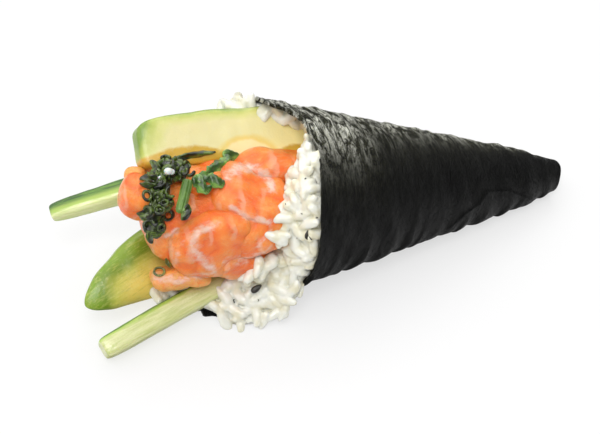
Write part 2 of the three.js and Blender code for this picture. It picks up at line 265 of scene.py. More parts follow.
def skin_faces(around, rows):
    """Faces of a closed skin: one pole, then rows of "around" points, then the other pole."""
    last = 1 + rows * around
    end = last - around
    ahead = [(j + 1) % around for j in range(around)]
    faces = [(0, 1 + ahead[j], 1 + j) for j in range(around)]
    for row in range(1, end, around):
        faces += band_faces(around, row, row + around)
    return faces + [(last, end + j, end + ahead[j]) for j in range(around)]


def outward(points, faces):
    """The faces, turned over if their closed skin would be inside out."""
    triangles = np.array([face[:3] for face in faces])
    a, b, c = (points[triangles[:, i]] for i in range(3))
    if np.einsum("ij,ij->", a - points.mean(0), np.cross(b, c)) < 0:
        return [face[::-1] for face in faces]
    return faces


def superellipse(power, wide, high, turns):
    """Points of a superellipse of half sizes "wide" and "high", seen from its middle at turns."""
    cosine, sine = np.cos(turns), np.sin(turns)
    sharp = 2 / power
    reach = (np.abs(cosine / wide) ** sharp + np.abs(sine / high) ** sharp) ** (-1 / sharp)
    return reach * cosine, reach * sine


def even_superellipse(power, wide, high, last, count):
    """As superellipse, with the points at equal steps from turn 0 to "last"."""
    turns = np.linspace(0, last, FINE_STEPS)
    x, y = superellipse(power, wide, high, turns)
    run = np.concatenate([[0], np.cumsum(np.hypot(np.diff(x), np.diff(y)))])
    return superellipse(power, wide, high, np.interp(np.linspace(0, run[-1], count), run, turns))


def rounded_form(length, width, depth, ends=1, edges=1, bow=0, ripple=0, narrow=0, cell=0.5):
    """A rounded piece as a part, as in the solids: its points, their own places before it bows,
    and its faces. X is its length, Y its width and Z its thickness, and "ends" and "edges" run
    from 1, round, towards 0, square."""
    half = np.array([length, width, depth]) / 2
    wide = max(half[1:])
    rows = max(6, round((length + wide) / cell))
    around = max(8, round((width + depth) * 1.8 / cell))
    reach, girth = even_superellipse(ends, half[0], wide, math.pi, rows + 1)
    reach, girth = reach / half[0], np.clip(girth / wide, 0, 1)
    across, up = even_superellipse(edges, half[1], half[2], 2 * math.pi, around + 1)
    girth = (girth * (1 - narrow * reach))[1:-1, None]
    x = np.repeat(reach[1:-1, None], around, axis=1)
    y = across[None, :-1] / half[1] * girth
    z = up[None, :-1] / half[2] * girth
    body = np.stack([x, y, z], axis=2).reshape(-1, 3)
    form = np.concatenate([[[reach[0], 0, 0]], body, [[reach[-1], 0, 0]]])
    waves = np.concatenate([[0], np.broadcast_to(girth, x.shape).ravel(), [0]])
    own = form * half
    points = own.copy()
    points[:, 1] += bow * (1 - form[:, 0] ** 2)
    points[:, 2] += ripple * np.sin(form[:, 0] * 4 + form[:, 1] * 2.5) * waves
    return points, own, outward(points, skin_faces(around, rows - 1))


def turned(points, run, out):
    """Points turned so that X lies along "run" and Z is as near to "out" as it can be."""
    x = unit(run)
    y = unit(np.cross(out, x))
    return points @ np.array([x, y, np.cross(x, y)])


def settled(points, at, run, face):
    """Own points set down at a spot of the roll, in world millimetres."""
    return turned(points, direction(run), direction(face)) + place(at)


def rounded_piece(name, material, at, run, face, cell=0.5, **form):
    points, own, faces = rounded_form(cell=cell, **form)
    return object_of(name, (settled(points, at, run, face), own, faces), material)


def finish_piece(piece, slot, *nodes):
    """Fixes the piece to the roll and hides the solids that it stands for. Its slot is not used."""
    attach(piece, "root")
    if nodes:
        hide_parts(*nodes)
    return piece


# ---- materials ----

NORI_BLACK = (0.0009, 0.0010, 0.0009)
NORI_GREY = (0.009, 0.010, 0.008)
# Painted sheen on the nori: olive flecks, and straw to silver-white painted highlights on its
# crumples
NORI_SHEEN_OLIVE = (0.11, 0.11, 0.05)
NORI_HIGHLIGHT_STRAW = (0.58, 0.59, 0.38)
NORI_HIGHLIGHT_SILVER = (1.0, 1.0, 0.92)
RICE_WHITE = (0.79, 0.79, 0.71)
# Painted shade for the rice, laid in patches
RICE_PAINTED_SHADE = (0.71, 0.68, 0.51)
RICE_GLINT = (0.85, 0.85, 0.81)
SALMON_LEAN = [(0.0, (0.90, 0.11, 0.004)), (0.4, (0.96, 0.175, 0.009)),
               (0.8, (0.98, 0.25, 0.028)), (1.0, (1.00, 0.34, 0.07))]
SALMON_FIBRE = (0.98, 0.35, 0.12)
SALMON_LAYER = (0.97, 0.56, 0.40)
SALMON_PEACH = (0.88, 0.41, 0.09)
SALMON_FAT = (0.99, 0.64, 0.53)
AVOCADO_OLIVE = (0.66, 0.64, 0.20)
AVOCADO_GREEN = (0.20, 0.30, 0.03)
AVOCADO_BLOOM = (0.80, 0.76, 0.48)
RIND_DARK = (0.035, 0.10, 0.012)
RIND_LIGHT = (0.13, 0.27, 0.03)
RIND_EDGE = (0.38, 0.52, 0.10)


class Nodes:
    """A node tree, with short ways to add the nodes that the looks are made of."""

    def __init__(self, tree):
        self.tree = tree

    def put(self, kind, values=(), **settings):
        """A node, with its settings, and its inputs by name or number as links or plain values."""
        node = self.tree.nodes.new(kind)
        for key, value in settings.items():
            setattr(node, key, value)
        for socket, value in dict(values).items():
            self.feed(node.inputs[socket], value)
        return node

    def feed(self, socket, value):
        if isinstance(value, bpy.types.NodeSocket):
            self.tree.links.new(value, socket)
        else:
            socket.default_value = value

    def own(self):
        """A point's own place in its piece, in millimetres."""
        return self.put("ShaderNodeAttribute", attribute_name="own").outputs["Vector"]

    def number(self, name):
        return self.put("ShaderNodeAttribute", attribute_name=name).outputs["Fac"]

    def split(self, vector):
        return self.put("ShaderNodeSeparateXYZ", {"Vector": vector}).outputs

    def scaled(self, vector, scale):
        node = self.put("ShaderNodeMapping", {"Vector": vector, "Scale": scale})
        return node.outputs["Vector"]

    def math(self, operation, a, b=0.0, c=0.0):
        node = self.put("ShaderNodeMath", {0: a, 1: b, 2: c}, operation=operation)
        return node.outputs[0]

    def times(self, a, b):
        return self.math("MULTIPLY", a, b)

    def waver(self, value, noise_value, amount):
        """The value, moved up and down by noise."""
        return self.math("MULTIPLY_ADD", self.math("SUBTRACT", noise_value, 0.5), amount, value)

    def noise(self, vector, scale, detail=3.0, rough=0.5, distortion=0.0):
        return self.put("ShaderNodeTexNoise", {
            "Vector": vector, "Scale": scale, "Detail": detail, "Roughness": rough,
            "Distortion": distortion,
        }).outputs["Fac"]

    def fade(self, value, low, high, start=0.0, end=1.0):
        """Start below low, end above high, and smooth in between."""
        node = self.put("ShaderNodeMapRange", {
            "Value": value, "From Min": low, "From Max": high, "To Min": start, "To Max": end,
        }, interpolation_type="SMOOTHSTEP")
        return node.outputs["Result"]

    def mix(self, share, a, b):
        node = self.put("ShaderNodeMix", data_type="RGBA")
        for socket, value in ((0, share), (6, a), (7, b)):
            self.feed(node.inputs[socket], (*value, 1) if isinstance(value, tuple) else value)
        return node.outputs[2]

    def ramp(self, value, stops):
        node = self.put("ShaderNodeValToRGB", {"Fac": value})
        elements = node.color_ramp.elements
        while len(elements) < len(stops):
            elements.new(1.0)
        for element, (position, color) in zip(elements, stops):
            element.position = position
            element.color = (*color, 1)
        return node.outputs["Color"]

    def bump(self, height, depth, normal=None):
        """Relief of "depth" millimetres."""
        node = self.put("ShaderNodeBump", {"Height": height, "Distance": depth * MM})
        if normal:
            self.feed(node.inputs["Normal"], normal)
        return node.outputs["Normal"]


class Shader(Nodes):
    """A material's node tree, round its surface shader."""

    def __init__(self, name, **sockets):
        self.material = bpy.data.materials.new(name)
        self.material.use_nodes = True
        super().__init__(self.material.node_tree)
        self.surface = self.tree.nodes["Principled BSDF"]
        for key, value in sockets.items():
            self.surface.inputs[key.replace("_", " ")].default_value = value

    def finish(self, color, normal=None, roughness=None):
        self.feed(self.surface.inputs["Base Color"], color)
        for key, value in (("Normal", normal), ("Coat Normal", normal), ("Roughness", roughness)):
            if value:
                self.feed(self.surface.inputs[key], value)
        return self.material


def wet_flesh(name, roughness, weight, radius, scale, coat):
    """A moist, slightly translucent surface."""
    return Shader(name, Roughness=roughness, Subsurface_Weight=weight, Subsurface_Radius=radius,
                  Subsurface_Scale=scale * MM, Coat_Weight=coat, Coat_Roughness=0.1)


def nori_material():
    """Near-black sheet with grey strands, and painted sheen where its mask is high: olive flecks
    and crumpled, straw to silver-white painted highlights.
    """
    look = Shader("nori", Specular_IOR_Level=0.21)
    sheet = look.own()
    sheen = look.number("sheen")
    strands = look.noise(look.scaled(sheet, (1.0, 0.2, 0.2)), 1.0, 7, 0.72, 1.2)
    crumple = look.noise(look.scaled(sheet, (0.9, 0.4, 0.4)), 0.3, 5, 0.65, 1.6)
    flecks = look.noise(sheet, 2.4, 4, 0.7)
    tone = look.times(look.fade(strands, 0.4, 0.7), look.fade(crumple, 0.35, 0.7))
    color = look.mix(tone, NORI_BLACK, NORI_GREY)
    # Olive flecks of painted sheen, where the painted sheen mask is high
    olive_sheen = look.times(look.fade(flecks, 0.48, 0.62), look.math("SQRT", sheen))
    color = look.mix(olive_sheen, color, NORI_SHEEN_OLIVE)
    # Painted highlights: crumpled straw to silver-white marks where the painted sheen mask is high;
    # the same crumples are a little glossier
    folds = look.noise(look.scaled(sheet, (1.0, 0.22, 0.22)), 0.55, 4, 0.6, 1.4)
    highlight_pattern = look.times(look.fade(folds, 0.41, 0.55), look.fade(crumple, 0.39, 0.50))
    highlight_pattern = look.times(highlight_pattern, look.fade(strands, 0.37, 0.54, 0.2, 1.0))
    painted_highlight = look.times(highlight_pattern, look.math("POWER", sheen, 1.35))
    pale = look.mix(look.fade(flecks, 0.38, 0.54), NORI_HIGHLIGHT_STRAW, NORI_HIGHLIGHT_SILVER)
    color = look.mix(painted_highlight, color, pale)
    roughness = look.fade(highlight_pattern, 0.0, 1.0, 0.46, 0.42)
    normal = look.bump(crumple, 3.0)
    normal = look.bump(strands, 1.2, normal)
    return look.finish(color, look.bump(flecks, 0.2, normal), roughness)


def rice_material():
    look = wet_flesh("rice", roughness=0.32, weight=0.45, radius=(1.0, 0.94, 0.78), scale=0.9,
                     coat=0.4)
    spot = look.own()
    cloud = look.noise(spot, 0.22, 2)
    fine = look.noise(spot, 1.1, 3, 0.6)
    # Patches of painted shade, in the cream of the rice's translucent shadows, scattered at random
    color = look.mix(look.fade(cloud, 0.40, 0.66), RICE_WHITE, RICE_PAINTED_SHADE)
    color = look.mix(look.fade(fine, 0.55, 0.8, 0.0, 0.35), color, RICE_GLINT)
    return look.finish(color, look.bump(fine, 0.18))


def salmon_material():
    """Flesh with pale fat where "seam" is high, and faint layers along "layer", in millimetres."""
    look = wet_flesh("salmon", roughness=0.28, weight=0.35, radius=(1.0, 0.35, 0.14), scale=1.5,
                     coat=0.6)
    spot = look.own()
    drift = look.noise(spot, 0.13, 2)
    fuzz = look.noise(spot, 0.8, 5, 0.7)
    frayed = look.noise(look.scaled(spot, (0.6, 1.0, 1.0)), 0.5, 6, 0.7)
    seam = look.fade(look.waver(look.number("seam"), frayed, 2.0), 0.32, 1.12)
    layer = look.waver(look.number("layer"), drift, 9.0)
    wave = look.math("SINE", look.times(layer, math.tau / LAYER_SPACING))
    faint = look.times(look.fade(wave, 0.55, 1.0), look.fade(drift, 0.42, 0.6, 0, 0.4))
    fibre = look.fade(look.noise(look.scaled(spot, (0.45, 1.5, 1.5)), 0.8, 5, 0.72), 0.45, 0.70)
    fibre = look.times(fibre, look.fade(drift, 0.40, 0.60, 0.15, 0.75))
    # Deeper orange where the tone is low: painted shade in the creases and on the shaded pieces,
    # and lighter on the folds as painted light
    lean = look.ramp(look.waver(look.number("tone"), fuzz, 0.9), SALMON_LEAN)
    color = look.mix(fibre, lean, SALMON_FIBRE)
    color = look.mix(faint, color, SALMON_LAYER)
    peach = look.times(look.number("peach"), look.fade(fuzz, 0.4, 0.6, 1, 0.5))
    color = look.mix(peach, color, SALMON_PEACH)
    color = look.mix(seam, color, SALMON_FAT)
    relief = look.bump(look.math("ADD", fibre, seam), 0.22)
    grain = look.noise(spot, 2.6, 3, 0.6)
    return look.finish(color, look.bump(grain, 0.22, look.bump(fuzz, 0.28, relief)))


def with_pit(look, color, spot, cloud, middle, reach, inside, edge):
    """The colour with the shallow hollow that the stone left, and its darker edge."""
    far_x, far_y = (look.math("DIVIDE", look.math("SUBTRACT", x, at), size)
                    for x, at, size in zip(spot, middle, reach))
    far = look.math("SQRT", look.math("ADD", look.times(far_x, far_x), look.times(far_y, far_y)))
    far = look.waver(far, cloud, 0.5)
    color = look.mix(look.fade(far, 0.85, 1.0, 0.7, 0.0), color, inside)
    ring = look.times(look.fade(far, 0.80, 0.95), look.fade(far, 0.95, 1.2, 1, 0))
    return look.mix(look.times(ring, 0.6), color, edge)


def with_shaded_side_face(look, color, x, side, side_shade):
    """The colour with painted shade on the near side's cut face, which faces down: wide at the
    outer end and narrow by the pit.
    """
    low = look.math("SUBTRACT", side, look.fade(x, -28, -20, 0.1, 0.25))
    low = look.math("ADD", low, look.times(look.fade(x, -14, 3), look.fade(x, 10, 18, 0.5, 0.2)))
    return look.mix(look.fade(low, -0.64, -0.5, 1.0, 0.0), color, side_shade)


def avocado_material(name, stops, inner, half_width, end_from, end_length, pit=None,
                     shaded_side_face=None, fibrous=0.0):
    """Colours run from the pit side to the skin side, which is +Y and the outer end, -X, and turn
    into "inner" towards the inner end."""
    look = wet_flesh(name, roughness=0.38, weight=0.3, radius=(1.0, 0.85, 0.35), scale=1.2,
                     coat=0.15)
    own = look.own()
    x, y, _ = look.split(own)
    cloud = look.noise(own, 0.12, 3)
    fine = look.noise(own, 0.8, 4, 0.6)
    side = look.math("DIVIDE", y, half_width)
    outer = look.math("DIVIDE", look.math("SUBTRACT", end_from, x), end_length)
    outer = look.math("MULTIPLY_ADD", side, 0.3, outer)
    skin = look.waver(look.math("SMOOTH_MAX", side, outer, 0.3), cloud, 0.4)
    color = look.ramp(look.math("MULTIPLY_ADD", skin, 0.5, 0.5), stops)
    color = look.mix(look.fade(x, -5, 26, 0.0, 0.7), color, inner)
    if pit:
        color = with_pit(look, color, (x, y), cloud, **pit)
    if shaded_side_face:
        color = with_shaded_side_face(look, color, x, look.waver(side, fine, 0.12), shaded_side_face)
    streaks = look.noise(look.scaled(own, (0.1, 0.9, 0.9)), 1.6, 5, 0.65)
    color = look.mix(look.fade(streaks, 0.5, 0.62, 0.0, fibrous), color, AVOCADO_OLIVE)
    color = look.mix(look.fade(streaks, 0.36, 0.48, fibrous, 0.0), color, AVOCADO_GREEN)
    color = look.mix(look.fade(fine, 0.5, 0.85, 0.0, 0.25), color, AVOCADO_BLOOM)
    return look.finish(color, look.bump(fine, 0.10))


def cucumber_material(name, pale, deep, skin_from, skin_full):
    """Dark green skin where "rise" across the strip, -1 to 1, is high, and pale flesh below."""
    look = wet_flesh(name, roughness=0.30, weight=0.4, radius=(0.8, 1.0, 0.45), scale=1.5,
                     coat=0.35)
    own = look.own()
    streaks = look.noise(look.scaled(own, (0.12, 1.0, 1.0)), 1.1, 4, 0.6)
    fine = look.noise(own, 1.5, 3)
    rise = look.waver(look.number("rise"), streaks, 0.5)
    flesh = look.mix(look.fade(streaks, 0.35, 0.7), pale, deep)
    green = look.mix(look.fade(streaks, 0.4, 0.65), RIND_DARK, RIND_LIGHT)
    rind = look.mix(look.fade(rise, skin_from, skin_full), RIND_EDGE, green)
    color = look.mix(look.fade(rise, skin_from - RIND_SHARE, skin_from), flesh, rind)
    return look.finish(color, look.bump(look.math("ADD", streaks, fine), 0.10))


def leaf_material(name, dark, light):
    look = wet_flesh(name, roughness=0.34, weight=0.15, radius=(0.5, 1.0, 0.3), scale=0.8,
                     coat=0.35)
    own = look.own()
    veins = look.noise(look.scaled(own, (0.25, 1.6, 1.6)), 1.6, 4, 0.6)
    patches = look.noise(own, 0.3, 2)
    tone = look.times(look.fade(veins, 0.3, 0.65), look.fade(patches, 0.38, 0.62))
    return look.finish(look.mix(tone, dark, light), look.bump(veins, 0.12))


def speckled_material(name, grain, tone, other_tone, **sockets):
    look = Shader(name, **sockets)
    cloud = look.noise(look.own(), grain, 3)
    return look.finish(look.mix(cloud, tone, other_tone), look.bump(cloud, 0.1))


# ---- nori ----

# How far along the cone its rim is, as (angle, along)
RIM_KEYS = [
    (0, 99), (30, 99), (55, 101.5), (68, 103), (80, 96.5), (92, 93.5), (120, 92.5), (150, 94),
    (180, 93), (210, 92.5), (222, 94), (239, 110), (250, 118), (270, 119), (292, 117),
    (315, 108), (340, 101),
]

# The lower lip, which flares outward
FLARE_ANGLE = 239
FLARE_SPREAD = 17
FLARE_FROM = 96
FLARE_LENGTH = 13
FLARE_OUT = 5.5

# The mesh, and the coil of the rolled tip
NORI_AROUND = 360
NORI_ROWS = 190
INNER_STEPS = [1, 0.93, 0.86, 0.6, 0.3, 0]
CAP_ROWS = 10
COIL_TURNS = 4
COIL_DEPTH = 0.55
NO_FLOOR = -9

# The ragged rim, torn at the lip, the relief of the sheet, and its painted sheen, the painted
# highlights in its colour, under which the creases are deeper
RAGGED_DEPTH = 0.35
TORN_DEPTH = 3.2
TORN_ANGLE = 248
TORN_SPREAD = 18
PLEAT = 7.6
PLEAT_DEPTH = 0.55
PLEAT_ANGLE = 222
PLEAT_SPREAD = 40
CREASE_SIZE = (2.6, 11, 11)
CRUMPLE_SIZE = (5.5, 16, 16)
CREASE_DEPTH = 0.14
MOUTH_CREASE_DEPTH = 0.12
SHEEN_CREASE_DEPTH = 0.3
SHEEN_ANGLE = 62
MOUTH_SHEEN_ANGLE = 91
MOUTH_SHEEN_SPREAD = 27

# Lines where the sheet's edge is folded over near the tip: (angle, along) round the cone, and
# (along, angle) up it. A fold's ends are its start, rise, end and fall.
TIP_FOLD = [(60, 30), (79, 20.7), (96, 16.5), (120, 15.3), (137, 13.7), (169, 12.5), (190, 10)]
SIDE_FOLD = [(11, 186), (21.3, 159), (31, 154), (33.6, 171), (38.7, 178), (43.6, 200)]
TIP_FOLD_ENDS = (60, 15, 196, 8)
SIDE_FOLD_ENDS = (10, 3, 46, 5)
TIP_FOLD_DEPTH = 0.45
SIDE_FOLD_DEPTH = 0.4
TIP_FOLD_WIDTH = 9
SIDE_FOLD_WIDTH = 7


def cone_radius(along):
    return TIP_RADIUS + TAPER * along - TIP_PINCH * (1 - smooth(along / PINCH_LENGTH))


def flare(along, angle):
    """How far the lower lip stands out."""
    near = bump(turn_between(angle, FLARE_ANGLE) / FLARE_SPREAD)
    return FLARE_OUT * near * smooth((along - FLARE_FROM) / FLARE_LENGTH)


def wrinkles(along, angle):
    """Gentle wrinkles, as in the solids."""
    turn = np.radians(angle)
    rings = np.sin(along * 0.68 + 1.3 * np.sin(turn * 2 + 0.4))
    creases = np.sin(along * 0.31 + turn * 3) * np.sin(turn * 5 + along * 0.12)
    return WRINKLE * (0.6 * rings + 0.4 * creases)


def overlap(angle):
    """The sheet's second layer, from its seam on."""
    past = turn_between(angle, SEAM_ANGLE)
    return np.where(past < 0, 0, SEAM_STEP * np.clip(1 - past / SEAM_SPAN, 0, 1))


def on_cone(along, radius, angle, floor):
    """World points on the cone, no lower than the floor."""
    points = place(round_axis(along, radius, angle))
    points[..., 2] = np.maximum(points[..., 2], floor)
    return points


def sheen_at(along, angle):
    """Where the sheet has painted sheen in its colour, and deeper creases: on top, by the mouth,
    and less towards the tip.
    """
    by_mouth = bump(turn_between(angle, MOUTH_SHEEN_ANGLE) / MOUTH_SHEEN_SPREAD)
    on_top = bump(turn_between(angle, SHEEN_ANGLE) / (12 + along * 0.28))
    return np.maximum(smooth((along - 65) / 16) * by_mouth, 0.9 * smooth((along + 4) / 26) * on_top)


def creases(along, angle):
    """Fine crumpling of the sheet: creases that run round the cone, deeper near the mouth."""
    flat = round_axis(along, cone_radius(along), angle).reshape(-1, 3)
    rings = wander(flat, CREASE_SIZE, seed=1, octaves=3)
    folds = 1 - np.abs(wander(flat, CRUMPLE_SIZE, seed=2, octaves=2)) * 2.4
    depth = (CREASE_DEPTH + MOUTH_CREASE_DEPTH * smooth((along - 45) / 45)
             + SHEEN_CREASE_DEPTH * sheen_at(along, angle))
    relief = (rings + np.clip(folds, 0, 1)).reshape(along.shape)
    pleat = (along / PLEAT + 0.25 * np.sin(along * 0.33)) % 1
    pleats = (smooth(pleat / 0.75) - smooth((pleat - 0.75) / 0.25)) * PLEAT_DEPTH
    return depth * relief + pleats * bump(turn_between(angle, PLEAT_ANGLE) / PLEAT_SPREAD)


def folded(past, width):
    """The step at a folded edge: 1 just past it, and 0 at "width" past it."""
    return smooth((past + 0.4) / 0.8) * np.clip(1 - past / width, 0, 1)


def fold_lines(along, angle):
    """The sheet's thickness over the folds near the tip, each between its two ends."""
    turns, fold_along = np.array(TIP_FOLD, float).T
    past = along - np.interp(angle, turns, fold_along)
    tip_fold = folded(past, TIP_FOLD_WIDTH) * between(angle, *TIP_FOLD_ENDS)
    fold_at, turns = np.array(SIDE_FOLD, float).T
    past = np.radians(angle - np.interp(along, fold_at, turns)) * cone_radius(along)
    side_fold = folded(past, SIDE_FOLD_WIDTH) * between(along, *SIDE_FOLD_ENDS)
    return TIP_FOLD_DEPTH * tip_fold + SIDE_FOLD_DEPTH * side_fold


def rim_noise(angle, fineness, level):
    """Noise round the rim, which closes on itself."""
    return np.array([noise.noise(Vector((math.cos(t) * fineness, math.sin(t) * fineness, level)))
                     for t in np.radians(angle)])


def nori_rows(angle):
    """Rows of the nori's closed skin at angles: the rolled tip, the outside and the inside."""
    ragged = RAGGED_DEPTH * (rim_noise(angle, 9, 4.2) + 0.5 * rim_noise(angle, 30, 1))
    torn = TORN_DEPTH * rim_noise(angle, 70, 2)
    at_lip = bump(turn_between(angle, TORN_ANGLE) / TORN_SPREAD)
    rim = around_keys(RIM_KEYS, angle) + ragged + torn * at_lip
    end = TIP_START - TIP_CORNER * bump(turn_between(angle, 90) / 50)
    rows = []
    for share in np.linspace(0, 1, CAP_ROWS + 1)[1:]:
        coil = (share * COIL_TURNS - angle / 360) % 1
        hollow = COIL_DEPTH * (1 - bump((coil - 0.5) / 0.22)) * smooth(share * 4) * (share < 1)
        rows.append((end * smooth(share * 1.2) + hollow, TIP_EDGE_RADIUS * share + 0 * angle,
                     NO_FLOOR))
    for share in np.linspace(0, 1, NORI_ROWS + 1):
        along = end + TIP_BEVEL + (rim - end - TIP_BEVEL) * share
        relief = wrinkles(along, angle) * smooth(along / 6) + overlap(angle) + flare(along, angle)
        relief = relief + creases(along, angle) * smooth(along / 4) + fold_lines(along, angle)
        rows.append((along, cone_radius(along) + relief, 0))
    for share in INNER_STEPS:
        along = NORI_PLUG + (rim - NORI_PLUG) * share
        relief = wrinkles(along, angle) * share + flare(along, angle)
        rows.append((along, cone_radius(along) + relief - NORI_THICKNESS, NORI_THICKNESS))
    return rows


def build_nori(material):
    angle = np.arange(NORI_AROUND) * 360 / NORI_AROUND
    rows = nori_rows(angle)
    body = [on_cone(along, radius, angle, floor) for along, radius, floor in rows]
    pole_in = place([0, 0, 0])
    pole_out = place([NORI_PLUG - TIP_BEVEL, 0, 0])
    points = np.concatenate([[pole_in], *body, [pole_out]])
    own = in_roll(points)
    faces = outward(points, skin_faces(NORI_AROUND, len(rows)))
    # The mask of painted sheen, for the colour
    sheen = sheen_at(own[:, 0], angle_of(own))
    sheet = new_object("nori_sheet", points, faces, material, own=own, sheen=sheen)
    return finish_piece(sheet, "nori", "nori")


# ---- rice ----

# The core: its face, its mounds as (angle, spread, out, on), where it lies against the nori, its
# steps past the rim as (on, in, share of the mounds' out, share of their on), how far it is tucked
# behind the rim, bulges past it and is flat in the middle, and its mesh
RICE_FACE = 99
RICE_MOUNDS = [(228, 17, 11.5, 2), (42, 16, 4, 9), (252, 9, -3, 10), (76, 25, 0, -20)]
RICE_WALL = [NORI_PLUG + 1, 24, 42, 60, 74, 83]
RICE_STEPS = [(1.5, 0.5, 0.55, 0), (3, 1.5, 1, 0.6), (4.5, 5, 0.7, 0.9)]
RICE_TUCK = 3
RICE_BULGE = 5
RICE_MIDDLE = 9
RICE_TURN = 1.5
RICE_INSET = 0.7
RICE_CLEAR = 0.1

# How finely the heap of grains is melted together
RICE_VOXEL = 0.28
RICE_KEPT_SHARE = 0.45

# Scattered copies: their sizes, how far their own places are shifted, and the sides of the heap
# that lie open to them
COPY_SCALES = (0.85, 1.12)
OWN_SHIFT = 50
OPEN_SIDES = [(0.3, -0.7, 0.7), (1, 0, 0.2), (0.3, 0.8, 0.6), (0.6, -0.8, 0)]
RICE_SIDES = [*OPEN_SIDES, (-0.5, -0.8, 0.1)]

# Single grains, the spots that each have some piled by the rim, and the spots of stray ones
RICE_SEED = 7
GRAIN = {"length": 7.2, "width": 3.0, "depth": 2.7, "ends": 0.8, "cell": 0.75}
GRAIN_BOW = 0.9
GRAIN_NARROW = 0.25
GRAIN_KINDS = 6
GRAIN_SPACING = 2.9
GRAIN_APART = 2.4
LOOSE_REACH = ((-8, -1.5), (-1.5, 1.5), (-1.5, 1.5))
LOOSE_EACH = 6
LOOSE_GRAINS = [
    (105.3, -18.3, -9.3), (108.9, -18.9, -11.4), (108.5, -15.8, -17.7), (104, -19.4, -5.8),
    (105.6, -19.1, 1.7), (104.6, -17.4, 6.2), (103.3, -16.4, 9.2), (111.5, -17.5, -15),
    (106.5, -19.5, -13.5), (103.5, -20.5, -2.5), (101.5, -14, 13.5), (114, -15, -19.5),
]
STRAY_GRAINS = [
    (130, -9, -25.5), (132, -7.9, -27.6), (128, -10.2, -24.8), (99.6, 13.2, 22.7),
    (97.6, 11.9, 22.2), (95.8, 10.7, 21.5),
]


def mounds(angle, which):
    """The mounds' heights at angles, out (2) or on (3)."""
    return sum(mound[which] * bump(turn_between(angle, mound[0]) / mound[1])
               for mound in RICE_MOUNDS)


def rice_wall(along):
    return cone_radius(along) - NORI_THICKNESS - WRINKLE - GAP


def rice_keys(angle):
    """Rows (along, radius) of the rice's core, from the tip's plug over its face to the middle."""
    rim = around_keys(RIM_KEYS, angle)
    out, on = mounds(angle, 2), mounds(angle, 3)
    back = np.minimum(on, 0)
    level = 0 * angle
    keys = [(level + along, level + rice_wall(along)) for along in RICE_WALL]
    behind = rim - RICE_TUCK + back
    keys.append((behind, rice_wall(behind)))
    for past, inward, out_share, on_share in RICE_STEPS:
        ahead = on * on_share if on_share else back
        keys.append((rim + past + ahead, rice_wall(rim) - inward + out * out_share))
    keys.append((np.minimum(rim, RICE_FACE) + RICE_BULGE + on, rice_wall(rim) * 0.66))
    keys.append((level + RICE_FACE - 1, level + RICE_MIDDLE))
    return keys


def rice_core(name, first_key, cell):
    """The core from one of its key rows on, closed at the back, with its face a little inside
    the solid's, for the grains to lie on."""
    angle = np.arange(0, 360, RICE_TURN)
    rim = around_keys(RIM_KEYS, angle)
    keys = rice_keys(angle)[first_key:]
    rows = [keys[0]]
    for (along, radius), (next_along, next_radius) in zip(keys, keys[1:]):
        step = np.hypot(next_along - along, next_radius - radius).mean()
        for share in np.linspace(0, 1, max(2, round(step / cell)) + 1)[1:]:
            rows.append((along + (next_along - along) * share,
                         radius + (next_radius - radius) * share))
    body = []
    for along, radius in rows:
        floor = np.where(along < rim + 1, NORI_THICKNESS + GAP, 0.1)
        body.append(on_cone(along, radius - RICE_INSET, angle, floor))
    back = place([float(np.mean(keys[0][0])), 0, 0])
    front = place([RICE_FACE - 2, 0, 0])
    points = pressed_in(np.concatenate([[back], *body, [front]]))
    return new_object(name, points, outward(points, skin_faces(len(angle), len(rows))))


def tree_of(pieces):
    """A ray tree of several pieces, in millimetres."""
    points, _, faces = joined([part_of(piece) for piece in pieces])
    return BVHTree.FromPolygons(points.tolist(), faces)


def showing_spots(ground, others, sides, spacing, draw):
    """Spots of "ground", with the way out of it, that rays from each side meet first."""
    tree = tree_of([ground, *others])
    spots = []
    for side in sides:
        back = unit(direction(side))
        right = unit(np.cross([0, 0, 1], back))
        up = np.cross(back, right)
        start = place([RICE_FACE, 0, 0]) + back * CONE_LENGTH
        cells = math.ceil(MOUTH_RADIUS * 1.5 / spacing)
        for row in range(-cells, cells + 1):
            for column in range(-cells, cells + 1):
                across = (column + row % 2 / 2 + draw.random() / 2) * spacing
                rise = (row + draw.random() / 2) * spacing
                spot, out, face, _ = tree.ray_cast(start + right * across + up * rise, -back)
                if spot is not None and face < len(ground.data.polygons):
                    spots.append((np.array(spot), np.array(out)))
    return spots


def met_by_view(tree, spot):
    """Where the view through a spot meets the tree, and the way out of it there."""
    found, out, _, _ = tree.ray_cast(place(spot) + TO_VIEW * CONE_LENGTH, -TO_VIEW)
    return np.array(found), np.array(out)


def laid_on(tree, spot):
    """The surface that shows at a spot, and a way out of it that leans towards the view."""
    found, out = met_by_view(tree, spot)
    return found, unit(out + 2 * TO_VIEW)


def lying_on(tree, spot):
    """The spot, moved along the view to the surface that shows there."""
    return in_roll(met_by_view(tree, spot)[0])


def kept_apart(spots, distance):
    kept = []
    for spot, out in spots:
        if all(np.linalg.norm(spot - other) > distance for other, _ in kept):
            kept.append((spot, out))
    return kept


def scattered(spots, forms, draw, sink=0.0, rise=0.3):
    """Copies of small forms lying on spots, turned any way, as one part."""
    parts = []
    for spot, out in spots:
        points, own, faces = forms[draw.randrange(len(forms))]
        scale = draw.uniform(*COPY_SCALES)
        any_way = np.array([draw.uniform(-1, 1) for _ in range(3)])
        run = unit(any_way - out * (any_way @ out)) + out * draw.uniform(-rise, rise)
        laid = turned(points * scale, run, out) + spot + out * (sink + draw.uniform(-0.5, 0.5))
        parts.append((laid, own + [draw.uniform(-OWN_SHIFT, OWN_SHIFT), 0, 0], faces))
    return joined(parts)


def grain_forms(draw):
    """Cooked grains, plump and slightly bent."""
    return [rounded_form(**GRAIN, bow=draw.uniform(-GRAIN_BOW, GRAIN_BOW),
                         narrow=draw.uniform(-GRAIN_NARROW, GRAIN_NARROW))
            for _ in range(GRAIN_KINDS)]


